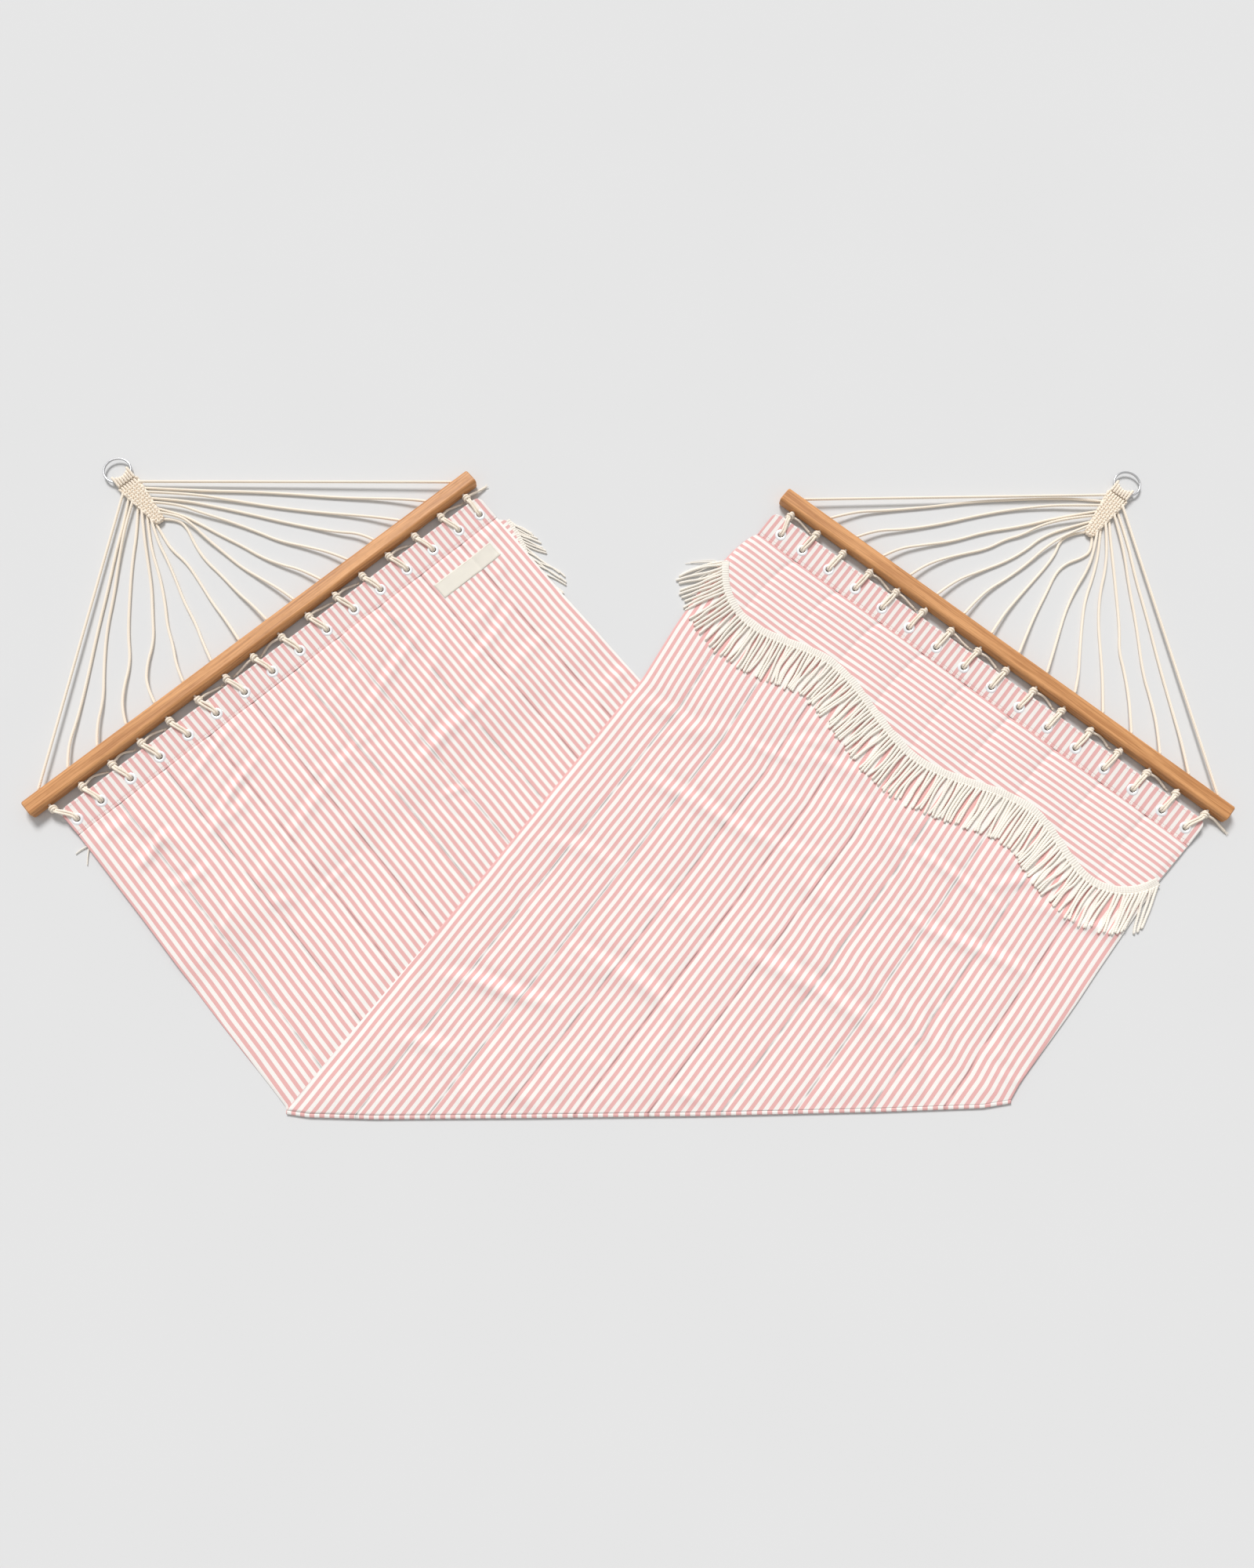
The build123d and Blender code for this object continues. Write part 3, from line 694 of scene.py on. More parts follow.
class Arm:
    """One arm of the folded cloth: its outline, and the heights of its two faces."""

    columns, rows = 190, 230

    def __init__(self, end, left_edge, right_edge, marks):
        self.end = end
        self.left_edge = np.array(left_edge, float)
        self.right_edge = np.array(right_edge, float)
        self.marks = marks

    def edges_at(self, y):
        """Where the two long edges are at y."""
        return [np.interp(-y, -edge[:, 1], edge[:, 0]) for edge in (self.left_edge, self.right_edge)]

    def across(self, x, y):
        """The place across the cloth: its stripes keep their number between the two edges."""
        low, high = self.edges_at(y)
        return ((x - low) / (high - low) - 0.5) * CLOTH_WIDTH

    def rise(self, x, y):
        """The soft shape of the top face: lengthwise channels, tucks at the seam and creases."""
        across = self.across(x, y)
        turn = np.abs(np.sin(across / size("channel") * pi))
        strength = 0.8 + 0.3 * np.sin(y * 0.011 + across * 0.02) + 0.2 * np.sin(y * 0.023 - across * 0.013)
        channels = size("puff") * strength * turn**0.45
        tucks = np.exp((y - SEAM_Y) / 60) * 1.4 * np.exp(-((turn / 0.14) ** 2))
        back = x * self.end.across.y + y * self.end.outward.y + self.end.origin.y / MM
        ease = smooth(CLOTH_WIDTH / 2 - np.abs(across), 1, 14) * smooth(back, FOLD_Y, FOLD_Y + 34)
        return np.clip(ease * (channels - tucks + creased(x, y, self.marks)), -1.2, 6.5)

    def top(self, x, y):
        return self.base(x, y) + CLOTH + self.rise(x, y)

    def grid(self):
        """Points over the arm, from the fold's end up to the seam, and their share of the width."""
        end = self.end
        rim = np.array([0, 0.0006, 0.002])
        share = np.concatenate([rim, np.linspace(0.0045, 0.9955, self.columns), 1 - rim[::-1]])
        down = np.linspace(1, 0, self.rows)[:, None]
        world_x = FOLD_LEFT + (FOLD_RIGHT - FOLD_LEFT) * share
        world = np.stack([world_x, fold_line(world_x) + FOLD_DEPTH, 0 * world_x], -1)
        bottom = end.local(world * MM)
        seam_y = SEAM_Y - 0.6
        y = seam_y + (bottom[:, 1] - seam_y) * down
        low, high = self.edges_at(y)
        x = low + (high - low) * share
        x = x + (bottom[:, 0] - x[0]) * smooth(down, 0.6, 1)
        return x, y, share

    def piece(self, name, node, material):
        """The closed sheet of this arm."""
        x, y, share = self.grid()
        base, top = self.base(x, y), self.top(x, y)
        edge = np.minimum(share, 1 - share) * CLOTH_WIDTH
        shut = np.clip(1 - edge / 2.2, 0, 1) ** 2 * 0.46 * (top - base)
        upper = self.end.points(np.stack([x, y, top - shut], -1))
        lower = self.end.points(np.stack([x, y, base + shut], -1))
        cloth = cloth_places(self.across(x, y), y)
        sheet = new_piece(name, *closed_sheet(upper, lower), material, cloth)
        return place_piece(sheet, self.end.host, "cloth", node)


class LowerArm(Arm):
    """The lower arm, which rises over the valance that lies under it."""

    def base(self, x, y):
        raised = self.end.cloth_top - CLOTH
        return 0.2 + (raised - 0.2) * smooth(y, -455, -385)

    def rise(self, x, y):
        """Less where the upper arm lies on it."""
        world = self.end.points(np.stack([x, y, 0 * x], -1))
        covered = smooth(right.local(world)[..., 0], -500, -465)
        return super().rise(x, y) * (1 - 0.65 * covered)


class UpperArm(Arm):
    """The upper arm, which lies on the lower one near the fold."""

    def base(self, x, y):
        resting = self.end.cloth_top - CLOTH
        world = self.end.points(np.stack([x, y, 0 * x], -1))
        return resting + UPPER_LIFT * (1 - smooth(left.local(world)[..., 0], 440, 520))


# Each arm's left and right edges, from the seam to past the fold
LOWER_EDGES = (
    [(-464, SEAM_Y), (-466, -282), (-471, -494), (-477, -700), (-484, -719)],
    [(490, SEAM_Y), (489, -153), (484, -297), (483, -512), (455, -1507)],
)
UPPER_EDGES = (
    [
        (-497, SEAM_Y), (-503, -104), (-508, -122), (-512, -150), (-514, -190), (-514, -240),
        (-503, -344), (-486, -462), (-463, -1453),
    ],
    [(479, SEAM_Y), (472, -190), (473, -387), (478, -631), (482, -672)],
)
# The creases that show most: both ends, the width and the depth
LOWER_CREASES = [
    (-300, -240, -120, -175, 9, 1.9),
    (60, -250, 240, -165, 10, 1.8),
    (-420, -210, -330, -190, 8, 1.7),
    (250, -300, 420, -240, 10, 1.6),
    (-200, -330, -20, -300, 11, 1.4),
    (80, -380, 300, -340, 12, 1.5),
]
UPPER_CREASES = [
    (-380, -620, -120, -560, 13, 1.9),
    (-60, -760, 230, -700, 14, 2.0),
    (120, -520, 400, -470, 12, 1.6),
    (-300, -930, -40, -900, 14, 1.8),
    (-430, -1120, -220, -1010, 12, 1.8),
    (40, -420, 300, -400, 10, 1.4),
]
arms = []


def both_arms():
    """Both arms' shapes, lower and upper, with the creases that each has."""
    if not arms:
        lower = scattered(11, 34, (-440, 470, -520, -110), (60, 190), (7, 14), (0.5, 1.3), (22, 30))
        upper = scattered(23, 52, (-450, 470, -1250, -280), (70, 240), (8, 17), (0.5, 1.4), (-14, 32))
        arms.append(LowerArm(left, *LOWER_EDGES, lower + LOWER_CREASES))
        arms.append(UpperArm(right, *UPPER_EDGES, upper + UPPER_CREASES))
    return arms


# Operators


class HAMMOCK_OT_camera(bpy.types.Operator):
    """Sets the camera that looks down on the hammock"""

    bl_idname = "hammock.camera"
    bl_label = "Camera"

    def execute(self, context):
        camera = bpy.data.cameras.new("camera")
        camera.sensor_fit = "AUTO"
        camera.sensor_width = SENSOR
        camera.lens = SENSOR * FOCAL_PIXELS / PICTURE_PIXELS
        camera.clip_start, camera.clip_end = 0.05, 100
        holder = bpy.data.objects.new("camera", camera)
        turn = Matrix(CAMERA_AXES).transposed().to_4x4()
        holder.matrix_world = Matrix.Translation(Vector(CAMERA_PLACE) * MM) @ turn
        context.scene.collection.objects.link(holder)
        context.scene.camera = holder
        return {"FINISHED"}


LEFT_ROUTES = [
    [],
    [(-387, 52), (-338, 92), (-278, 148), (-218, 206), (-155, 263), (-98, 318), (-52, 357)],
    [(-326, 50), (-286, 88), (-252, 137), (-205, 196), (-152, 247), (-100, 303), (-54, 347)],
    [(-272, 47), (-248, 80), (-207, 117), (-178, 166), (-136, 221), (-90, 278), (-46, 325)],
    [(-212, 58), (-187, 93), (-151, 123), (-123, 166), (-91, 214), (-66, 260), (-40, 308)],
    [(-148, 54), (-129, 92), (-115, 131), (-91, 172), (-68, 219), (-51, 266), (-33, 303)],
    [(-85, 58), (-72, 100), (-63, 150), (-49, 194), (-36, 240), (-27, 284)],
    [(-26, 64), (-24, 114), (-17, 165), (-12, 213), (-18, 253), (-14, 284)],
    [(30, 57), (24, 100), (22, 150), (17, 196), (22, 236), (31, 272), (27, 297)],
    [(88, 50), (74, 95), (60, 140), (53, 184), (45, 230), (42, 268), (33, 300)],
    [(143, 58), (119, 95), (101, 132), (86, 178), (70, 217), (54, 262), (38, 302)],
    [(205, 52), (179, 92), (147, 136), (128, 176), (101, 227), (68, 280), (44, 322)],
    [(272, 47), (240, 80), (211, 118), (178, 161), (140, 215), (98, 272), (56, 326)],
    [(322, 48), (290, 84), (240, 136), (186, 195), (130, 262), (76, 324)],
    [(388, 42), (345, 84), (290, 134), (232, 192), (172, 250), (112, 303), (60, 352)],
    [],
]
RIGHT_ROUTES = [
    [],
    [(-380, 62), (-337, 103), (-276, 163), (-217, 226), (-152, 286), (-88, 342), (-48, 372)],
    [(-326, 55), (-283, 95), (-235, 150), (-192, 208), (-147, 262), (-92, 317), (-48, 352)],
    [(-269, 52), (-237, 90), (-196, 135), (-160, 190), (-110, 246), (-62, 312)],
    [(-212, 46), (-198, 78), (-172, 118), (-136, 163), (-120, 202), (-100, 230), (-83, 270), (-50, 315)],
    [(-147, 65), (-119, 118), (-92, 166), (-76, 210), (-68, 250), (-43, 296)],
    [(-92, 54), (-86, 95), (-71, 137), (-58, 186), (-50, 236), (-34, 284)],
    [(-35, 66), (-33, 110), (-30, 158), (-27, 204), (-28, 240), (-35, 266), (-28, 292)],
    [(22, 60), (12, 108), (4, 160), (-5, 206), (0, 236), (17, 264), (24, 290)],
    [(82, 60), (67, 108), (52, 156), (43, 202), (39, 248), (27, 290)],
    [(144, 54), (121, 96), (92, 150), (70, 194), (54, 250), (36, 296)],
    [(188, 72), (151, 124), (114, 173), (85, 223), (68, 266), (44, 310)],
    [(252, 66), (210, 117), (178, 147), (156, 183), (126, 223), (83, 278), (45, 326)],
    [(315, 62), (278, 102), (235, 140), (178, 210), (120, 272), (66, 334)],
    [(370, 62), (318, 112), (252, 172), (180, 242), (120, 296), (66, 352)],
    [],
]


def weave_half_width(y):
    """Half the woven head's width at y."""
    share = (y - WEAVE_BASE_Y) / (WEAVE_TOP_Y - WEAVE_BASE_Y)
    return (WEAVE_BASE_WIDTH + share * (WEAVE_TOP_WIDTH - WEAVE_BASE_WIDTH)) / 2


def cord_points(k, route):
    """A fan cord's points: the hole, its route on the ground, and its place in the weave."""
    side = -1 if k < HOLE_COUNT / 2 else 1
    rank = k if side < 0 else HOLE_COUNT - 1 - k
    exit_y = WEAVE_TOP_Y - 15 - rank * 13
    exit_height = LAY_HEIGHT + (ROPE + 0.1) * (1 - rank % 2)
    start = Vector((HOLE_X[k], HINGE_Y, BAR_MIDDLE))
    stop = Vector((side * weave_half_width(exit_y), exit_y, exit_height))
    points = [start]
    for x, y in route:
        from_bar = hypot(x - start.x, y - start.y)
        to_weave = hypot(x - stop.x, y - stop.y)
        drop = max(0.0, 1 - from_bar / 110) * (BAR_MIDDLE - LAY_HEIGHT)
        climb = min(1.0, max(0.0, (170 - to_weave) / 110))
        points.append(Vector((x, y, LAY_HEIGHT + drop + climb * (exit_height - LAY_HEIGHT))))
    last = (stop - points[-1]).normalized()
    points.append(stop + last * 3)
    return points


class HAMMOCK_OT_fan_cords(bpy.types.Operator):
    """Lays the cords that fan out from each bar's holes to the woven heads"""

    bl_idname = "hammock.fan_cords"
    bl_label = "Fan cords"

    def execute(self, context):
        material = rope_finish("fan_rope", colour("rope"))
        for end, routes in ((left, LEFT_ROUTES), (right, RIGHT_ROUTES)):
            for k, route in enumerate(routes):
                path = smooth_line(end.points(cord_points(k, route)), 1.3 * MM)
                # The rope goes on a little way into the bar's hole
                into = end.points([(HOLE_X[k], HINGE_Y - 3.6, BAR_MIDDLE)])
                ropes = Ropes()
                ropes.add(np.concatenate([into, path[1:]]), ROPE * MM, size("lay") * MM)
                cord = ropes.piece(f"{end.name}_fan_cord_{k + 1:02d}", material)
                place_piece(cord, f"{end.name}_clew", "rope", f"{end.name}_cord_{k + 1:02d}")
        return {"FINISHED"}


class HAMMOCK_OT_stage(bpy.types.Operator):
    """Lays the floor and sets the light"""

    bl_idname = "hammock.stage"
    bl_label = "Floor and light"

    def execute(self, context):
        reach, level = 6, -0.0003
        corners = [(x * reach, y * reach, level) for x, y in ((-1, -1), (1, -1), (1, 1), (-1, 1))]
        floor = new_piece("floor", corners, [(0, 1, 2, 3)], floor_finish())
        sun = bpy.data.lights.new("window", "SUN")
        sun.energy = SUN_STRENGTH * pi / cos(SUN_LEAN)
        sun.angle = SUN_WIDTH
        holder = bpy.data.objects.new("window", sun)
        toward = Vector((-0.25 * sin(SUN_LEAN), sin(SUN_LEAN), cos(SUN_LEAN)))
        holder.rotation_mode = "QUATERNION"
        holder.rotation_quaternion = toward.to_track_quat("Z", "Y")
        context.scene.collection.objects.link(holder)
        world = bpy.data.worlds.new("room")
        world.use_nodes = True
        nodes, links = world.node_tree.nodes, world.node_tree.links
        # Polished metal sees the pale room, and everything else is lit by a dimmer one
        rays = nodes.new("ShaderNodeLightPath")
        tint = nodes.new("ShaderNodeMix")
        tint.data_type = "RGBA"
        tint.inputs[6].default_value = (ROOM_LIGHT,) * 3 + (1,)
        tint.inputs[7].default_value = (ROOM_SHINE,) * 3 + (1,)
        links.new(rays.outputs["Is Glossy Ray"], tint.inputs[0])
        links.new(tint.outputs[2], nodes["Background"].inputs["Color"])
        context.scene.world = world
        context.scene.view_settings.view_transform = "Standard"
        return {"FINISHED"}


class HAMMOCK_OT_bed(bpy.types.Operator):
    """Makes the two arms of the striped cloth and the rolled fold between them"""

    bl_idname = "hammock.bed"
    bl_label = "Bed"

    def execute(self, context):
        lower, upper = both_arms()
        material = cloth_finish("bed_cloth", True, size("stripe"), channels=True)
        lower_sheet = lower.piece("lower_arm", "lower_bed", material)
        upper_sheet = upper.piece("upper_arm", "upper_bed", material)
        fold = self.fold_piece(lower, upper, material)
        return {"FINISHED"}

    def fold_piece(self, lower, upper, material):
        """The rolled strip that joins the two arms."""
        x = np.linspace(FOLD_LEFT, FOLD_RIGHT, 240)
        back = fold_line(x) + FOLD_DEPTH
        world = np.stack([x, back, 0 * x], -1) * MM
        (low_x, low_y), (high_x, high_y) = left.local(world).T[:2], right.local(world).T[:2]
        bottom, lower_top = lower.base(low_x, low_y), lower.top(low_x, low_y)
        upper_base, top = upper.base(high_x, high_y), upper.top(high_x, high_y)
        turns = np.linspace(0, pi, 15)[:, None]
        shells = []
        for floor, ceiling, depth in ((bottom, top, FOLD_DEPTH), (lower_top, upper_base, FOLD_DEPTH - CLOTH)):
            y = back - depth * np.sin(turns) ** 0.8
            z = (floor + ceiling) / 2 - (ceiling - floor) / 2 * np.cos(turns)
            shells.append(np.stack([x + 0 * y, y, z], -1) * MM)
        turned = turns > pi / 2
        across = np.where(turned, upper.across(high_x, high_y), lower.across(low_x, low_y))
        cloth = cloth_places(across, np.where(turned, high_y, low_y))
        strip = new_piece("fold", *closed_sheet(*shells), material, cloth)
        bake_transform(strip)
        return strip


class HAMMOCK_OT_hems(bpy.types.Operator):
    """Makes the double bands that the eyelets sit in, with their rows of stitches"""

    bl_idname = "hammock.hems"
    bl_label = "Hems"

    def execute(self, context):
        material = cloth_finish("hem_cloth", True, size("stripe"))
        thread = thread_finish("hem_thread", (0.72, 0.42, 0.40))
        for end in ends:
            band = self.band(end, material)
            place_piece(band, f"{end.name}_bar", "cloth", f"{end.name}_hem")
            stitches = Stitches()
            for along, inset in STITCH_ROWS:
                xs = np.linspace(end.hem_left + inset, end.hem_right - inset, 200)
                stitches.row(end.points([end.on_hem(x, along, self.swell(x, along) + 0.05) for x in xs]))
            seams = stitches.piece(f"{end.name}_hem_stitches", thread)
            place_piece(seams, f"{end.name}_bar", "cloth")
        return {"FINISHED"}

    def swell(self, x, along):
        """The band's slight waves, which die out at the eyelets and the seam."""
        share = np.clip(along / HEM_WIDTH, 0, 1)
        ridge = np.exp(-(((along - 5) / 2.2) ** 2)) * -0.35
        return 0.45 * np.sin(x * 0.052) * share**2 + 0.3 * np.sin(x * 0.17 + 1) * share**4 + ridge

    def band(self, end, material):
        """The band's closed sheet, open where the eyelets pass."""
        width = end.hem_right - end.hem_left
        rows, columns = 30, 481
        along = np.linspace(0.3, HEM_WIDTH, rows)[:, None]
        share = np.linspace(0, 1, columns)[None, :]
        corner = np.clip(along - (HEM_WIDTH - HEM_CORNER), 0, HEM_CORNER)
        inset = HEM_CORNER - np.sqrt(HEM_CORNER**2 - corner**2)
        x = end.hem_left + inset + share * (width - 2 * inset)
        swell = self.swell(x, along)
        y = SEAM_Y + along * end.hem_run - swell * end.hem_rise
        z = end.cloth_top + along * end.hem_rise + swell * end.hem_run
        points = end.points(np.stack([x, y, z], -1)).reshape(-1, 3)
        quads = grid_quads(rows, columns)
        kept = np.ones(len(quads), bool)
        for k in range(HOLE_COUNT):
            near = np.hypot(x - end.eyelet_x(k), along - EYELET_FROM_SEAM).ravel() < EYELET_HOLE
            kept &= ~near[quads].any(axis=1)
        across = ((x - end.hem_left) / width - 0.5) * CLOTH_WIDTH
        cloth = np.stack([across, y, 0 * x], -1).reshape(-1, 3)
        used, faces = np.unique(quads[kept], return_inverse=True)
        faces = faces.reshape(-1, 4).tolist()
        band = new_piece(f"{end.name}_hem_band", points[used], faces, material, {"cloth": cloth[used]})
        solid = band.modifiers.new("thickness", "SOLIDIFY")
        solid.thickness = CLOTH * MM
        solid.offset = -1
        with bpy.context.temp_override(object=band, active_object=band, selected_objects=[band]):
            bpy.ops.object.modifier_apply(modifier=solid.name)
        return band


class HAMMOCK_OT_label(bpy.types.Operator):
    """Sews the blank label to the lower arm"""

    bl_idname = "hammock.label"
    bl_label = "Label"

    def execute(self, context):
        lower, _ = both_arms()
        middle_x, middle_y, length, width = 378, -141, 136, 34
        x = middle_x + np.linspace(-length / 2, length / 2, 69)[None, :] + np.zeros((18, 1))
        y = middle_y + np.linspace(-width / 2, width / 2, 18)[:, None] + np.zeros((1, 69))
        cloth = lower.top(x, y)
        rim = np.minimum(length / 2 - np.abs(x - middle_x), width / 2 - np.abs(y - middle_y))
        top = cloth + 0.35 + 0.6 * smooth(rim, 0, 2.4) + 0.2 * np.sin(x * 0.11)
        upper = left.points(np.stack([x, y, top], -1))
        under = left.points(np.stack([x, y, cloth + 0.1], -1))
        label = new_piece("sewn_label", *closed_sheet(upper, under), label_finish(), cloth_places(x, y))
        place_piece(label, "lower_cloth", "label", "label")
        a, b = length / 2 - 2.6, width / 2 - 2.6
        corners = [(-a, -b), (a, -b), (a, b), (-a, b), (-a, -b)]
        stitches = Stitches()
        for (x0, y0), (x1, y1) in zip(corners, corners[1:]):
            xs, ys = middle_x + np.linspace(x0, x1, 40), middle_y + np.linspace(y0, y1, 40)
            stitches.row(left.points(np.stack([xs, ys, lower.top(xs, ys) + 0.95], -1)), pitch=3.0)
        seam = stitches.piece("label_stitches", thread_finish("label_thread", (0.80, 0.72, 0.60)))
        place_piece(seam, "lower_cloth", "label")
        return {"FINISHED"}


class HAMMOCK_OT_hard_parts(bpy.types.Operator):
    """Finishes the wooden bars, the eyelets, their washers and the rings"""

    bl_idname = "hammock.hard_parts"
    bl_label = "Bars, eyelets and rings"

    def execute(self, context):
        eyelet = steel_finish("eyelet_plate", (0.93, 0.93, 0.94), 0.7, 0.26, 300.0)
        ring = steel_finish("ring_steel", (0.50, 0.50, 0.51), 1.0, 0.2, 120.0)
        for end in ends:
            finishes = {"bar": wood_finish(end), "eyelets": eyelet, "washers": eyelet, "ring": ring}
            for part, material in finishes.items():
                for slot in frame["nodes"][f"{end.name}_{part}"].material_slots:
                    slot.material = material
        return {"FINISHED"}


LEFT_TAILS = [0, 1, 1, 1, 0, 1, 0, -1, -1, 1, 1, 0, 1, 0, 1, 1]
RIGHT_TAILS = [1, 0, 0, 1, 1, 0, 1, 1, 0, 1, 0, 1, 0, 1, 0, 1]


class HAMMOCK_OT_lacing(bpy.types.Operator):
    """Ties the laces between the bars and the eyelets"""

    bl_idname = "hammock.lacing"
    bl_label = "Lacing"

    def execute(self, context):
        material = rope_finish("lace_rope", colour("rope"))
        for end, tails in ((left, LEFT_TAILS), (right, RIGHT_TAILS)):
            dice = Random(end.name)
            ropes = Ropes()
            for k in range(HOLE_COUNT):
                self.lace(ropes, end, k, tails[k], dice)
            laces = ropes.piece(f"{end.name}_laces", material)
            place_piece(laces, f"{end.name}_bar", "rope", f"{end.name}_lacing")
        return {"FINISHED"}

    def lace(self, ropes, end, k, tail, dice):
        """One lace: out of its hole, round its knot, over the hem and down its eyelet."""
        x, eye = HOLE_X[k], end.eyelet_x(k)
        lean = eye - x
        turn = dice.uniform(0, tau)
        hand = dice.choice((-1, 1))

        def lay(route, thickness=4.9):
            ropes.add(smooth_line(end.points(route), 1.2 * MM), thickness * MM, 12.5 * MM, sides=12)

        lay([(x, BAR_WIDTH / 2 - 2, BAR_MIDDLE), (x, -BAR_WIDTH / 2, BAR_MIDDLE), (x, -24, BAR_MIDDLE)], 5.2)
        coil = []
        for step in range(30):
            share = step / 29
            angle = turn + hand * share * tau * 2.3
            spread = 5.6 - 2.4 * abs(2 * share - 1) ** 4
            tilt = 1.5 * sin(angle + 0.6)
            middle = x + lean * 0.08 * share
            y = -21.5 - 11.5 * share + tilt
            coil.append((middle + spread * cos(angle), y, BAR_MIDDLE + spread * sin(angle)))
        lay(coil)
        for side in (-1, 1):
            gap = 2.35 * side
            wander = dice.uniform(-1, 1)
            lay([
                (x + gap * 0.7, -29, BAR_MIDDLE + 1.5),
                (x + gap + lean * 0.15, -35, BAR_MIDDLE + 4.4),
                end.on_hem(x + gap + lean * 0.3 + wander, HEM_WIDTH - 2, 3.6),
                end.on_hem(x + gap * 1.05 + lean * 0.75 + wander, 41, 3.0),
                end.on_hem(eye + gap, 32, 3.4),
                end.on_hem(eye + gap * 0.95, 26, 2.2),
                end.on_hem(eye + gap * 0.8, 23.5, -2),
                end.on_hem(eye + gap * 0.8, 24.5, -5.2),
            ])
        lay([
            end.on_hem(eye, 24.5, -5.4),
            end.on_hem(x + lean * 0.6, 42, -5.2),
            (x + lean * 0.2, HEM_EDGE_Y, BAR_MIDDLE / 2),
            (x, -28, BAR_MIDDLE - 3),
        ])
        if tail:
            near = -26 + dice.uniform(-2, 2)
            bow = dice.uniform(-3, 4)
            tip = Vector((x + tail * dice.uniform(42, 50), near - 1, LAY_HEIGHT))
            lay([
                (x, near, BAR_MIDDLE - 2),
                (x + tail * 9, near + 2, BAR_MIDDLE - 2.5),
                (x + tail * 20, near + 3 + bow, 8.2),
                (x + tail * 32, near + 2 + bow, LAY_HEIGHT + 1.2),
                tip,
            ])
            for _ in range(5):
                away = Vector((tail * dice.uniform(4, 8), dice.uniform(-3.5, 3.5), dice.uniform(-1.4, 1)))
                line = end.points([tip - Vector((tail * 2, 0, 0)), tip + away])
                ropes.add(even_points(line, 1.5 * MM), 1.6 * MM, 6 * MM, 2, 6, 0.5)


VALANCE_EDGES = {
    "left": [
        (-466, -110), (-453, -180), (-388, -236), (-245, -210), (10, -262), (245, -211), (390, -245),
        (462, -178), (479, -106),
    ],
    "right": [
        (-501, -174), (-466, -216), (-388, -243), (-245, -210), (10, -262), (245, -211), (385, -250),
        (447, -217), (470, -180),
    ],
}
CORNER_SPLAY = {"left": (0.45, 0.3), "right": (0.6, 0.25)}
EDGE_STEP = 2.2


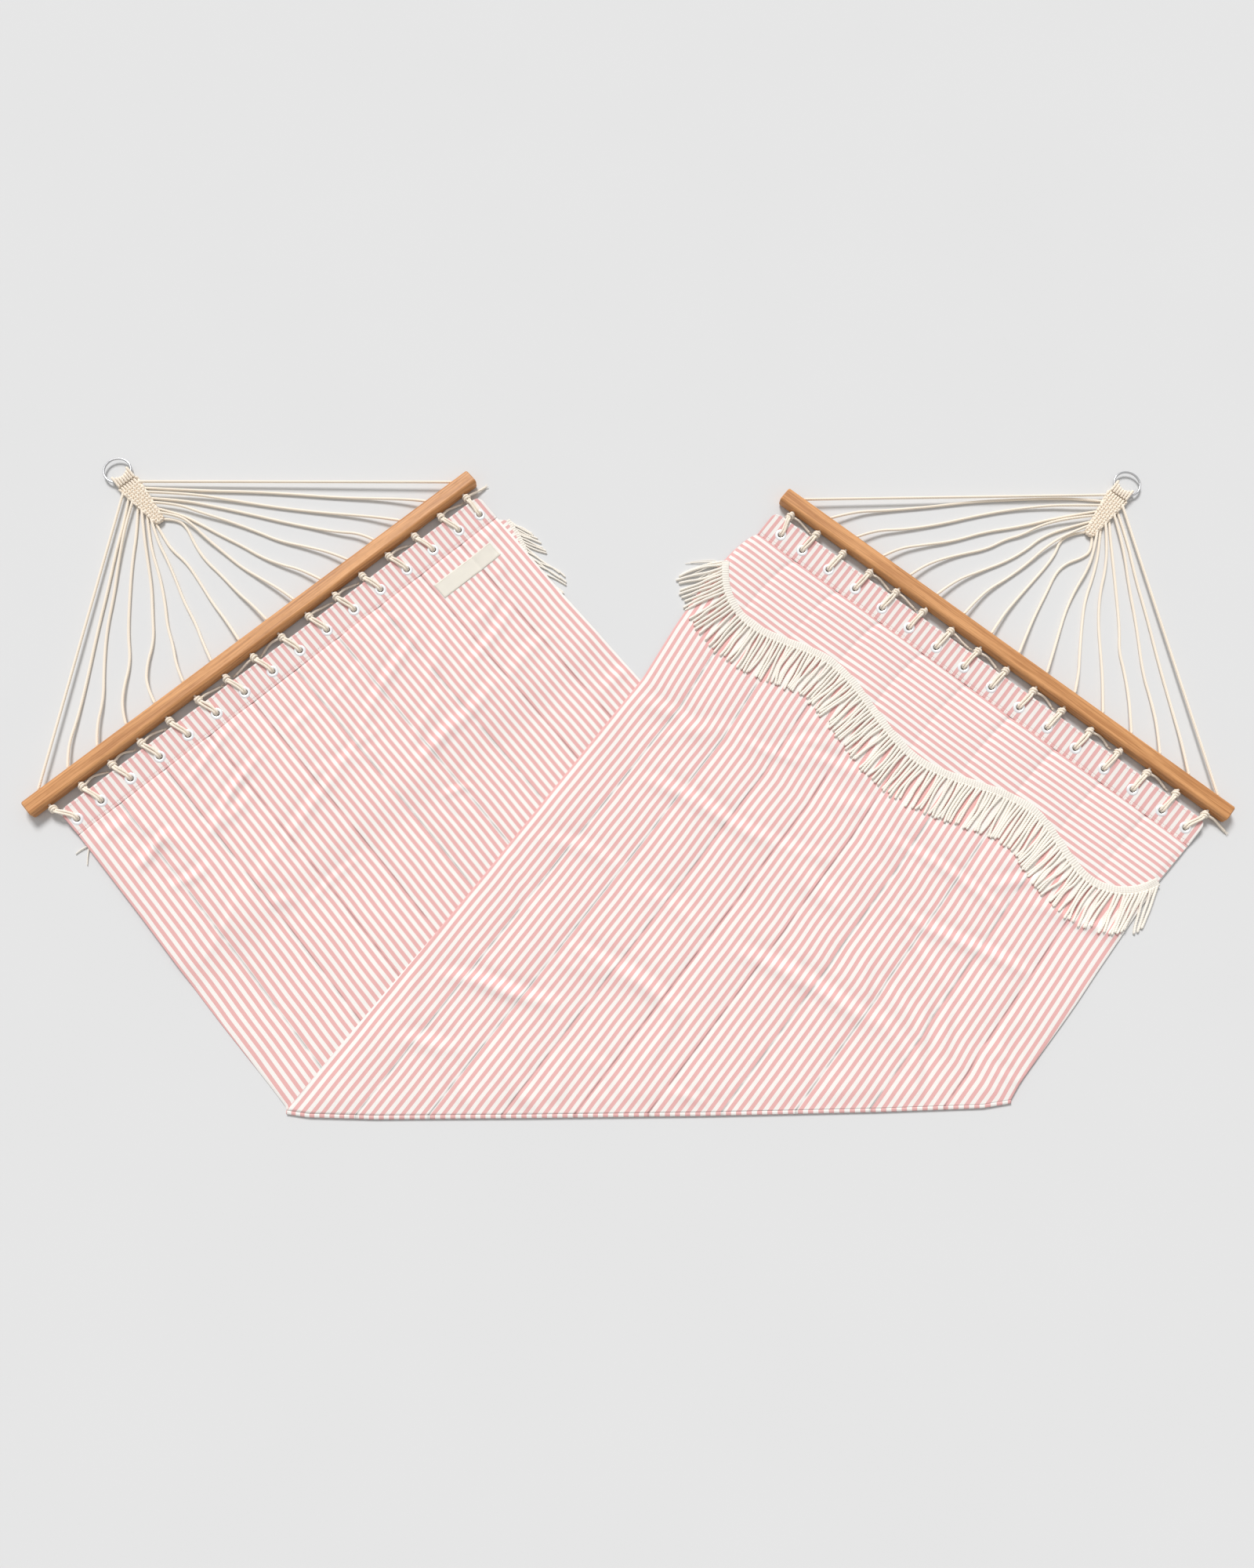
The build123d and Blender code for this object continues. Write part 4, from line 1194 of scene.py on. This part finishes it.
class HAMMOCK_OT_valances(bpy.types.Operator):
    """Makes the scalloped valances with their tapes and fringes"""

    bl_idname = "hammock.valances"
    bl_label = "Valances"

    def execute(self, context):
        cloth = cloth_finish("valance_cloth", False, VALANCE_STRIPE)
        tape = tape_finish("fringe_tape", colour("fringe"))
        strands = rope_finish("fringe_strand", colour("fringe"))
        for end, arm in zip(ends, both_arms()):
            body = f"{end.name}_valance"
            edge = line_through(VALANCE_EDGES[end.name], EDGE_STEP) + (end.valance_shift, 0)
            along = unit_rows(np.gradient(edge, axis=0))
            outward = np.stack([along[:, 1], -along[:, 0]], -1)
            flap = self.flap(end, arm, edge, outward, cloth)
            place_piece(flap, body, "cloth", f"{end.name}_valance")
            band = place_piece(self.tape(end, arm, edge, outward, tape), body, "fringe")
            fringe = self.fringe(end, arm, edge, outward, strands)
            place_piece(fringe, body, "fringe", f"{end.name}_fringe")
        return {"FINISHED"}

    def level(self, end, arm, x, y, height):
        """The z at a height above the cloth, or below it where the valance lies under it."""
        if end is right:
            return arm.top(x, y) + height
        return end.cloth_top - CLOTH - height

    def sheet(self, end, x, y, near, far):
        """A closed sheet between a level near the cloth and one away from it."""
        upper, lower = (far, near) if end is right else (near, far)
        return closed_sheet(*[end.points(np.stack([x, y, z], -1)) for z in (upper, lower)])

    def flap(self, end, arm, edge, outward, material):
        """The striped flap between the seam and its tape."""
        bottom = edge + outward * 6
        share = (bottom[:, 0] - bottom[0, 0]) / (bottom[-1, 0] - bottom[0, 0])
        seam_x = end.hem_left + 1.5 + (end.hem_right - end.hem_left - 3) * share
        top = np.stack([seam_x, 0 * share + SEAM_Y - 1.5], -1)
        down = np.concatenate([np.linspace(1, 0.03, 40), [0.014, 0]])[:, None, None]
        places = top + (bottom - top) * down
        x, y = places[..., 0], places[..., 1]
        if end is right:
            # Its left side follows the cloth's own edge
            stretch = (arm.edges_at(y)[0] + 1 - x[:, :1]) * (1 - share) ** 6
            x = x + stretch * (1 - down[..., 0] ** 4)
        fold = 0.5 * np.sin(x * 0.021 + 1) * (1 - down[..., 0]) + 0.35 * np.sin(x * 0.047 + y * 0.02)
        waves = np.clip(0.4 + fold, 0.1, 1.4) * smooth(SEAM_Y - y, 0, 30) * (end is right)
        near, far = (self.level(end, arm, x, y, height + waves) for height in (0.3, 1.5))
        cloth = cloth_places(x, y + 1.2 * np.sin(x * 0.013))
        return new_piece(f"{end.name}_flap", *self.sheet(end, x, y, near, far), material, cloth)

    def tape(self, end, arm, edge, outward, material):
        """The ribbed tape along the flap's edge."""
        over = np.linspace(TAPE_WIDTH, 0, 9)[:, None, None]
        run = np.arange(len(edge)) * EDGE_STEP
        places = edge + outward * (TAPE_START + over + 0.5 * np.sin(run * 1.37)[None, :, None] * (over > 15))
        x, y = places[..., 0], places[..., 1]
        ribs = 0.28 * np.abs(np.sin(run * pi / 4.6))
        crown = np.sin(np.clip(over[..., 0] / TAPE_WIDTH, 0, 1) * pi).clip(0) ** 0.5
        near = self.level(end, arm, x, y, 1.4 + 0 * x)
        far = self.level(end, arm, x, y, 1.9 + (1.0 + ribs) * crown)
        cloth = cloth_places(run + 0 * x, over[..., 0] + 0 * x)
        return new_piece(f"{end.name}_tape", *self.sheet(end, x, y, near, far), material, cloth)

    def fringe(self, end, arm, edge, outward, material):
        """The twisted strands, which hang together in clumps and splay at both corners."""
        dice = Random(f"{end.name} fringe")
        ropes = Ropes()
        count = bpy.context.scene.hammock_sizes.strands
        thickness = size("strand") if end is right else HIDDEN_STRAND
        k = 0
        while k < count:
            clump = range(k, min(k + dice.choice((2, 3, 3, 4, 4, 5, 6)), count))
            gather, lean = dice.uniform(0.05, 0.4), dice.gauss(0, 3.5)
            middle = (clump[0] + clump[-1]) / 2
            for n in clump:
                at = (n + 0.5) / count
                drift = (middle - n) * 6.6 * gather + lean + dice.gauss(0, 1.3)
                route = self.strand_route(end, arm, edge, outward, at, drift, gather, dice)
                ropes.add(smooth_line(end.points(route), 1.7 * MM), thickness * MM, 9.5 * MM, 2, 9, 0.1)
            k += len(clump)
        if end is right:
            self.wisps(ropes, end, edge, dice)
        else:
            self.stray_strands(ropes, end)
        return ropes.piece(f"{end.name}_strands", material)

    def strand_route(self, end, arm, edge, outward, at, drift, gather, dice):
        """One strand's points, from under its tape to its tip."""
        spot = int(at * (len(edge) - 1))
        splay = CORNER_SPLAY[end.name][at >= 0.5]
        way = Vector(outward[spot] * splay + (0, splay - 1)).normalized()
        side = Vector((-way.y, way.x))
        root = Vector(edge[spot] + outward[spot] * (TAPE_WIDTH - 5))
        wave = dice.gauss(0, 2.2)
        length = FRINGE_LENGTH - 6 + dice.gauss(0, 2.5)
        if end is left and at > 0.94:
            length *= 0.6
        stack = dice.uniform(0, 2.2) * gather
        # Shares of its length and of its sway, and the height over the cloth
        stations = (
            (0, 0, 2.9), (0.1, 0, 3.0), (0.3, 0.15, 2.7), (0.55, 0.55, 2.4 + stack),
            (0.8, 0.9, 2.4 + stack), (1, 1, 2.4),
        )
        route = []
        for share, sway, height in stations:
            bend = wave * sin(share * pi) + (dice.gauss(0, 0.8) if share > 0.2 else 0)
            x, y = root + way * length * share + side * (drift * sway + bend)
            if end is left:
                # Under the cloth's left edge none shows
                x, level = max(x, end.hem_left + 7), 1.95
            elif abs(arm.across(x, y)) > CLOTH_WIDTH / 2 - 1:
                level = 2.6 + 3 * (1 - share)
            else:
                level = float(arm.top(np.array(x), np.array(y))) + height
            route.append((x, y, level))
        return route

    def wisps(self, ropes, end, edge, dice):
        """Thin ends that fan out from the corner on the floor beside the cloth."""
        start = Vector((*edge[0], 5.5)) + Vector((2, -8, 0))
        for reach, drop in ((64, -46), (50, -52), (42, -62), (30, -68), (22, -60), (58, -38), (14, -72)):
            stop = start + Vector((-reach, drop, 1.5 - start.z))
            middle = start.lerp(stop, 0.5) + Vector((dice.uniform(-4, 4), 9, 1))
            line = smooth_line(end.points([start, start.lerp(middle, 0.5), middle, stop]), 1.6 * MM)
            ropes.add(line, 2.6 * MM, 7 * MM, 2, 8, 0.5)

    def stray_strands(self, ropes, end):
        """Two loose strands that show beside the lower arm's left edge."""
        for dx, dy in ((-28, 3), (-24, -27)):
            start = Vector((end.hem_left + 4, -118, 2.4))
            stop = start + Vector((dx, dy, -0.8))
            middle = start.lerp(stop, 0.55) + Vector((0, 3, 0.4))
            line = smooth_line(end.points([start, middle, stop]), 1.6 * MM)
            ropes.add(line, 3.0 * MM, 7 * MM, 2, 8, 0.3)


class HAMMOCK_OT_clews(bpy.types.Operator):
    """Weaves the two heads and loops the ropes that hold the rings"""

    bl_idname = "hammock.clews"
    bl_label = "Woven heads and ring loops"

    def execute(self, context):
        material = rope_finish("clew_rope", toned(colour("rope"), 0.99, 0.98, 0.97))
        for end in ends:
            head = self.head(end).piece(f"{end.name}_head", material)
            place_piece(head, f"{end.name}_clew", "rope", f"{end.name}_weave")
            loops = self.loops(end).piece(f"{end.name}_hairpins", material)
            place_piece(loops, f"{end.name}_ring_loops", "rope", f"{end.name}_ring_loops")
        return {"FINISHED"}

    def head(self, end):
        """Columns that run up the head, woven with ropes that cross it."""
        ropes = Ropes()
        middle, swing, pitch, spacing = 6.4, 2.5, 6.5, 5.6
        top = WEAVE_TOP_Y - 13.5

        def lay(points):
            ropes.add(even_points(end.points(points), 1.2 * MM), ROPE * MM, size("lay") * MM, sides=12)

        for i in range(15):
            y = top - pitch * i
            half = weave_half_width(y) - 1.5
            x = np.linspace(-half, half, 40)
            z = middle + swing * np.cos(pi * (x - spacing / 2) / spacing + i * pi)
            bow = 1.2 * np.cos(x / half * pi / 2)
            lay(np.stack([x, y - bow, z], -1))
        for side in (-1, 1):
            for j in range(3):
                x = side * spacing * (j + 0.5)
                wide = (2 * (abs(x) + 1.5) - WEAVE_BASE_WIDTH) / (WEAVE_TOP_WIDTH - WEAVE_BASE_WIDTH)
                start = WEAVE_BASE_Y + max(0.0, wide) * (WEAVE_TOP_Y - WEAVE_BASE_Y)
                y = np.linspace(start, WEAVE_TOP_Y, 90)
                phase = cos(pi * (x - spacing / 2) / spacing)
                z = middle - swing * phase * np.cos(pi * (y - top) / pitch)
                z = np.where(y > top + 4, middle + 1.0, z)
                lay(np.stack([x + 0 * y, y, z], -1))
            y = np.linspace(WEAVE_BASE_Y + 4, WEAVE_TOP_Y, 90)
            x = side * (weave_half_width(y) - 1.6)
            z = middle + 1.6 * side * np.cos(pi * (y - top) / pitch)
            lay(np.stack([x, y, z], -1))
        return ropes

    def loops(self, end):
        """The hairpins: each runs over the ring's wire, round it and back under it."""
        ropes = Ropes()
        start = WEAVE_TOP_Y - 1.5
        reach = 5.0
        bore = RING_RADIUS - 2.3
        for k in range(HAIRPINS):
            x = (k - (HAIRPINS - 1) / 2) * HAIRPIN_PITCH
            bend = RING_Y - sqrt(bore**2 - (abs(x) + ROPE / 2) ** 2)
            turns = np.linspace(-pi / 2, pi / 2, 16)
            points = [(x, start, RING_HEIGHT - reach)]
            points += [(x, bend + reach * cos(turn), RING_HEIGHT + reach * sin(turn)) for turn in turns]
            points += [(x, bend - 3, RING_HEIGHT + reach), (x, start, RING_HEIGHT + 2.2)]
            ropes.add(even_points(end.points(points), 1.2 * MM), ROPE * MM, size("lay") * MM, sides=14)
        return ropes


OPERATORS = (
    HAMMOCK_OT_camera,
    HAMMOCK_OT_fan_cords,
    HAMMOCK_OT_stage,
    HAMMOCK_OT_bed,
    HAMMOCK_OT_hems,
    HAMMOCK_OT_label,
    HAMMOCK_OT_hard_parts,
    HAMMOCK_OT_lacing,
    HAMMOCK_OT_valances,
    HAMMOCK_OT_clews,
)


class HAMMOCK_PT_panel(bpy.types.Panel):
    """Lists what dresses the hammock"""

    bl_idname = "HAMMOCK_PT_panel"
    bl_label = "Hammock"
    bl_space_type = "VIEW_3D"
    bl_region_type = "UI"
    bl_category = "Hammock"

    def draw(self, context):
        for group in (context.scene.hammock_sizes, context.scene.hammock_colours):
            for name in group.bl_rna.properties.keys():
                if name not in ("rna_type", "name"):
                    self.layout.prop(group, name)
        for operator in OPERATORS:
            self.layout.operator(operator.bl_idname)


CLASSES = (HammockSizes, HammockColours, *OPERATORS, HAMMOCK_PT_panel)


def register():
    for item in CLASSES:
        bpy.utils.register_class(item)
    bpy.types.Scene.hammock_sizes = bpy.props.PointerProperty(type=HammockSizes)
    bpy.types.Scene.hammock_colours = bpy.props.PointerProperty(type=HammockColours)


def unregister():
    del bpy.types.Scene.hammock_colours
    del bpy.types.Scene.hammock_sizes
    for item in reversed(CLASSES):
        bpy.utils.unregister_class(item)


def main():
    """Dresses the hammock."""
    register()
    for operator in OPERATORS:
        group, name = operator.bl_idname.split(".")
        getattr(getattr(bpy.ops, group), name)()


if __name__ == "__main__":
    main()
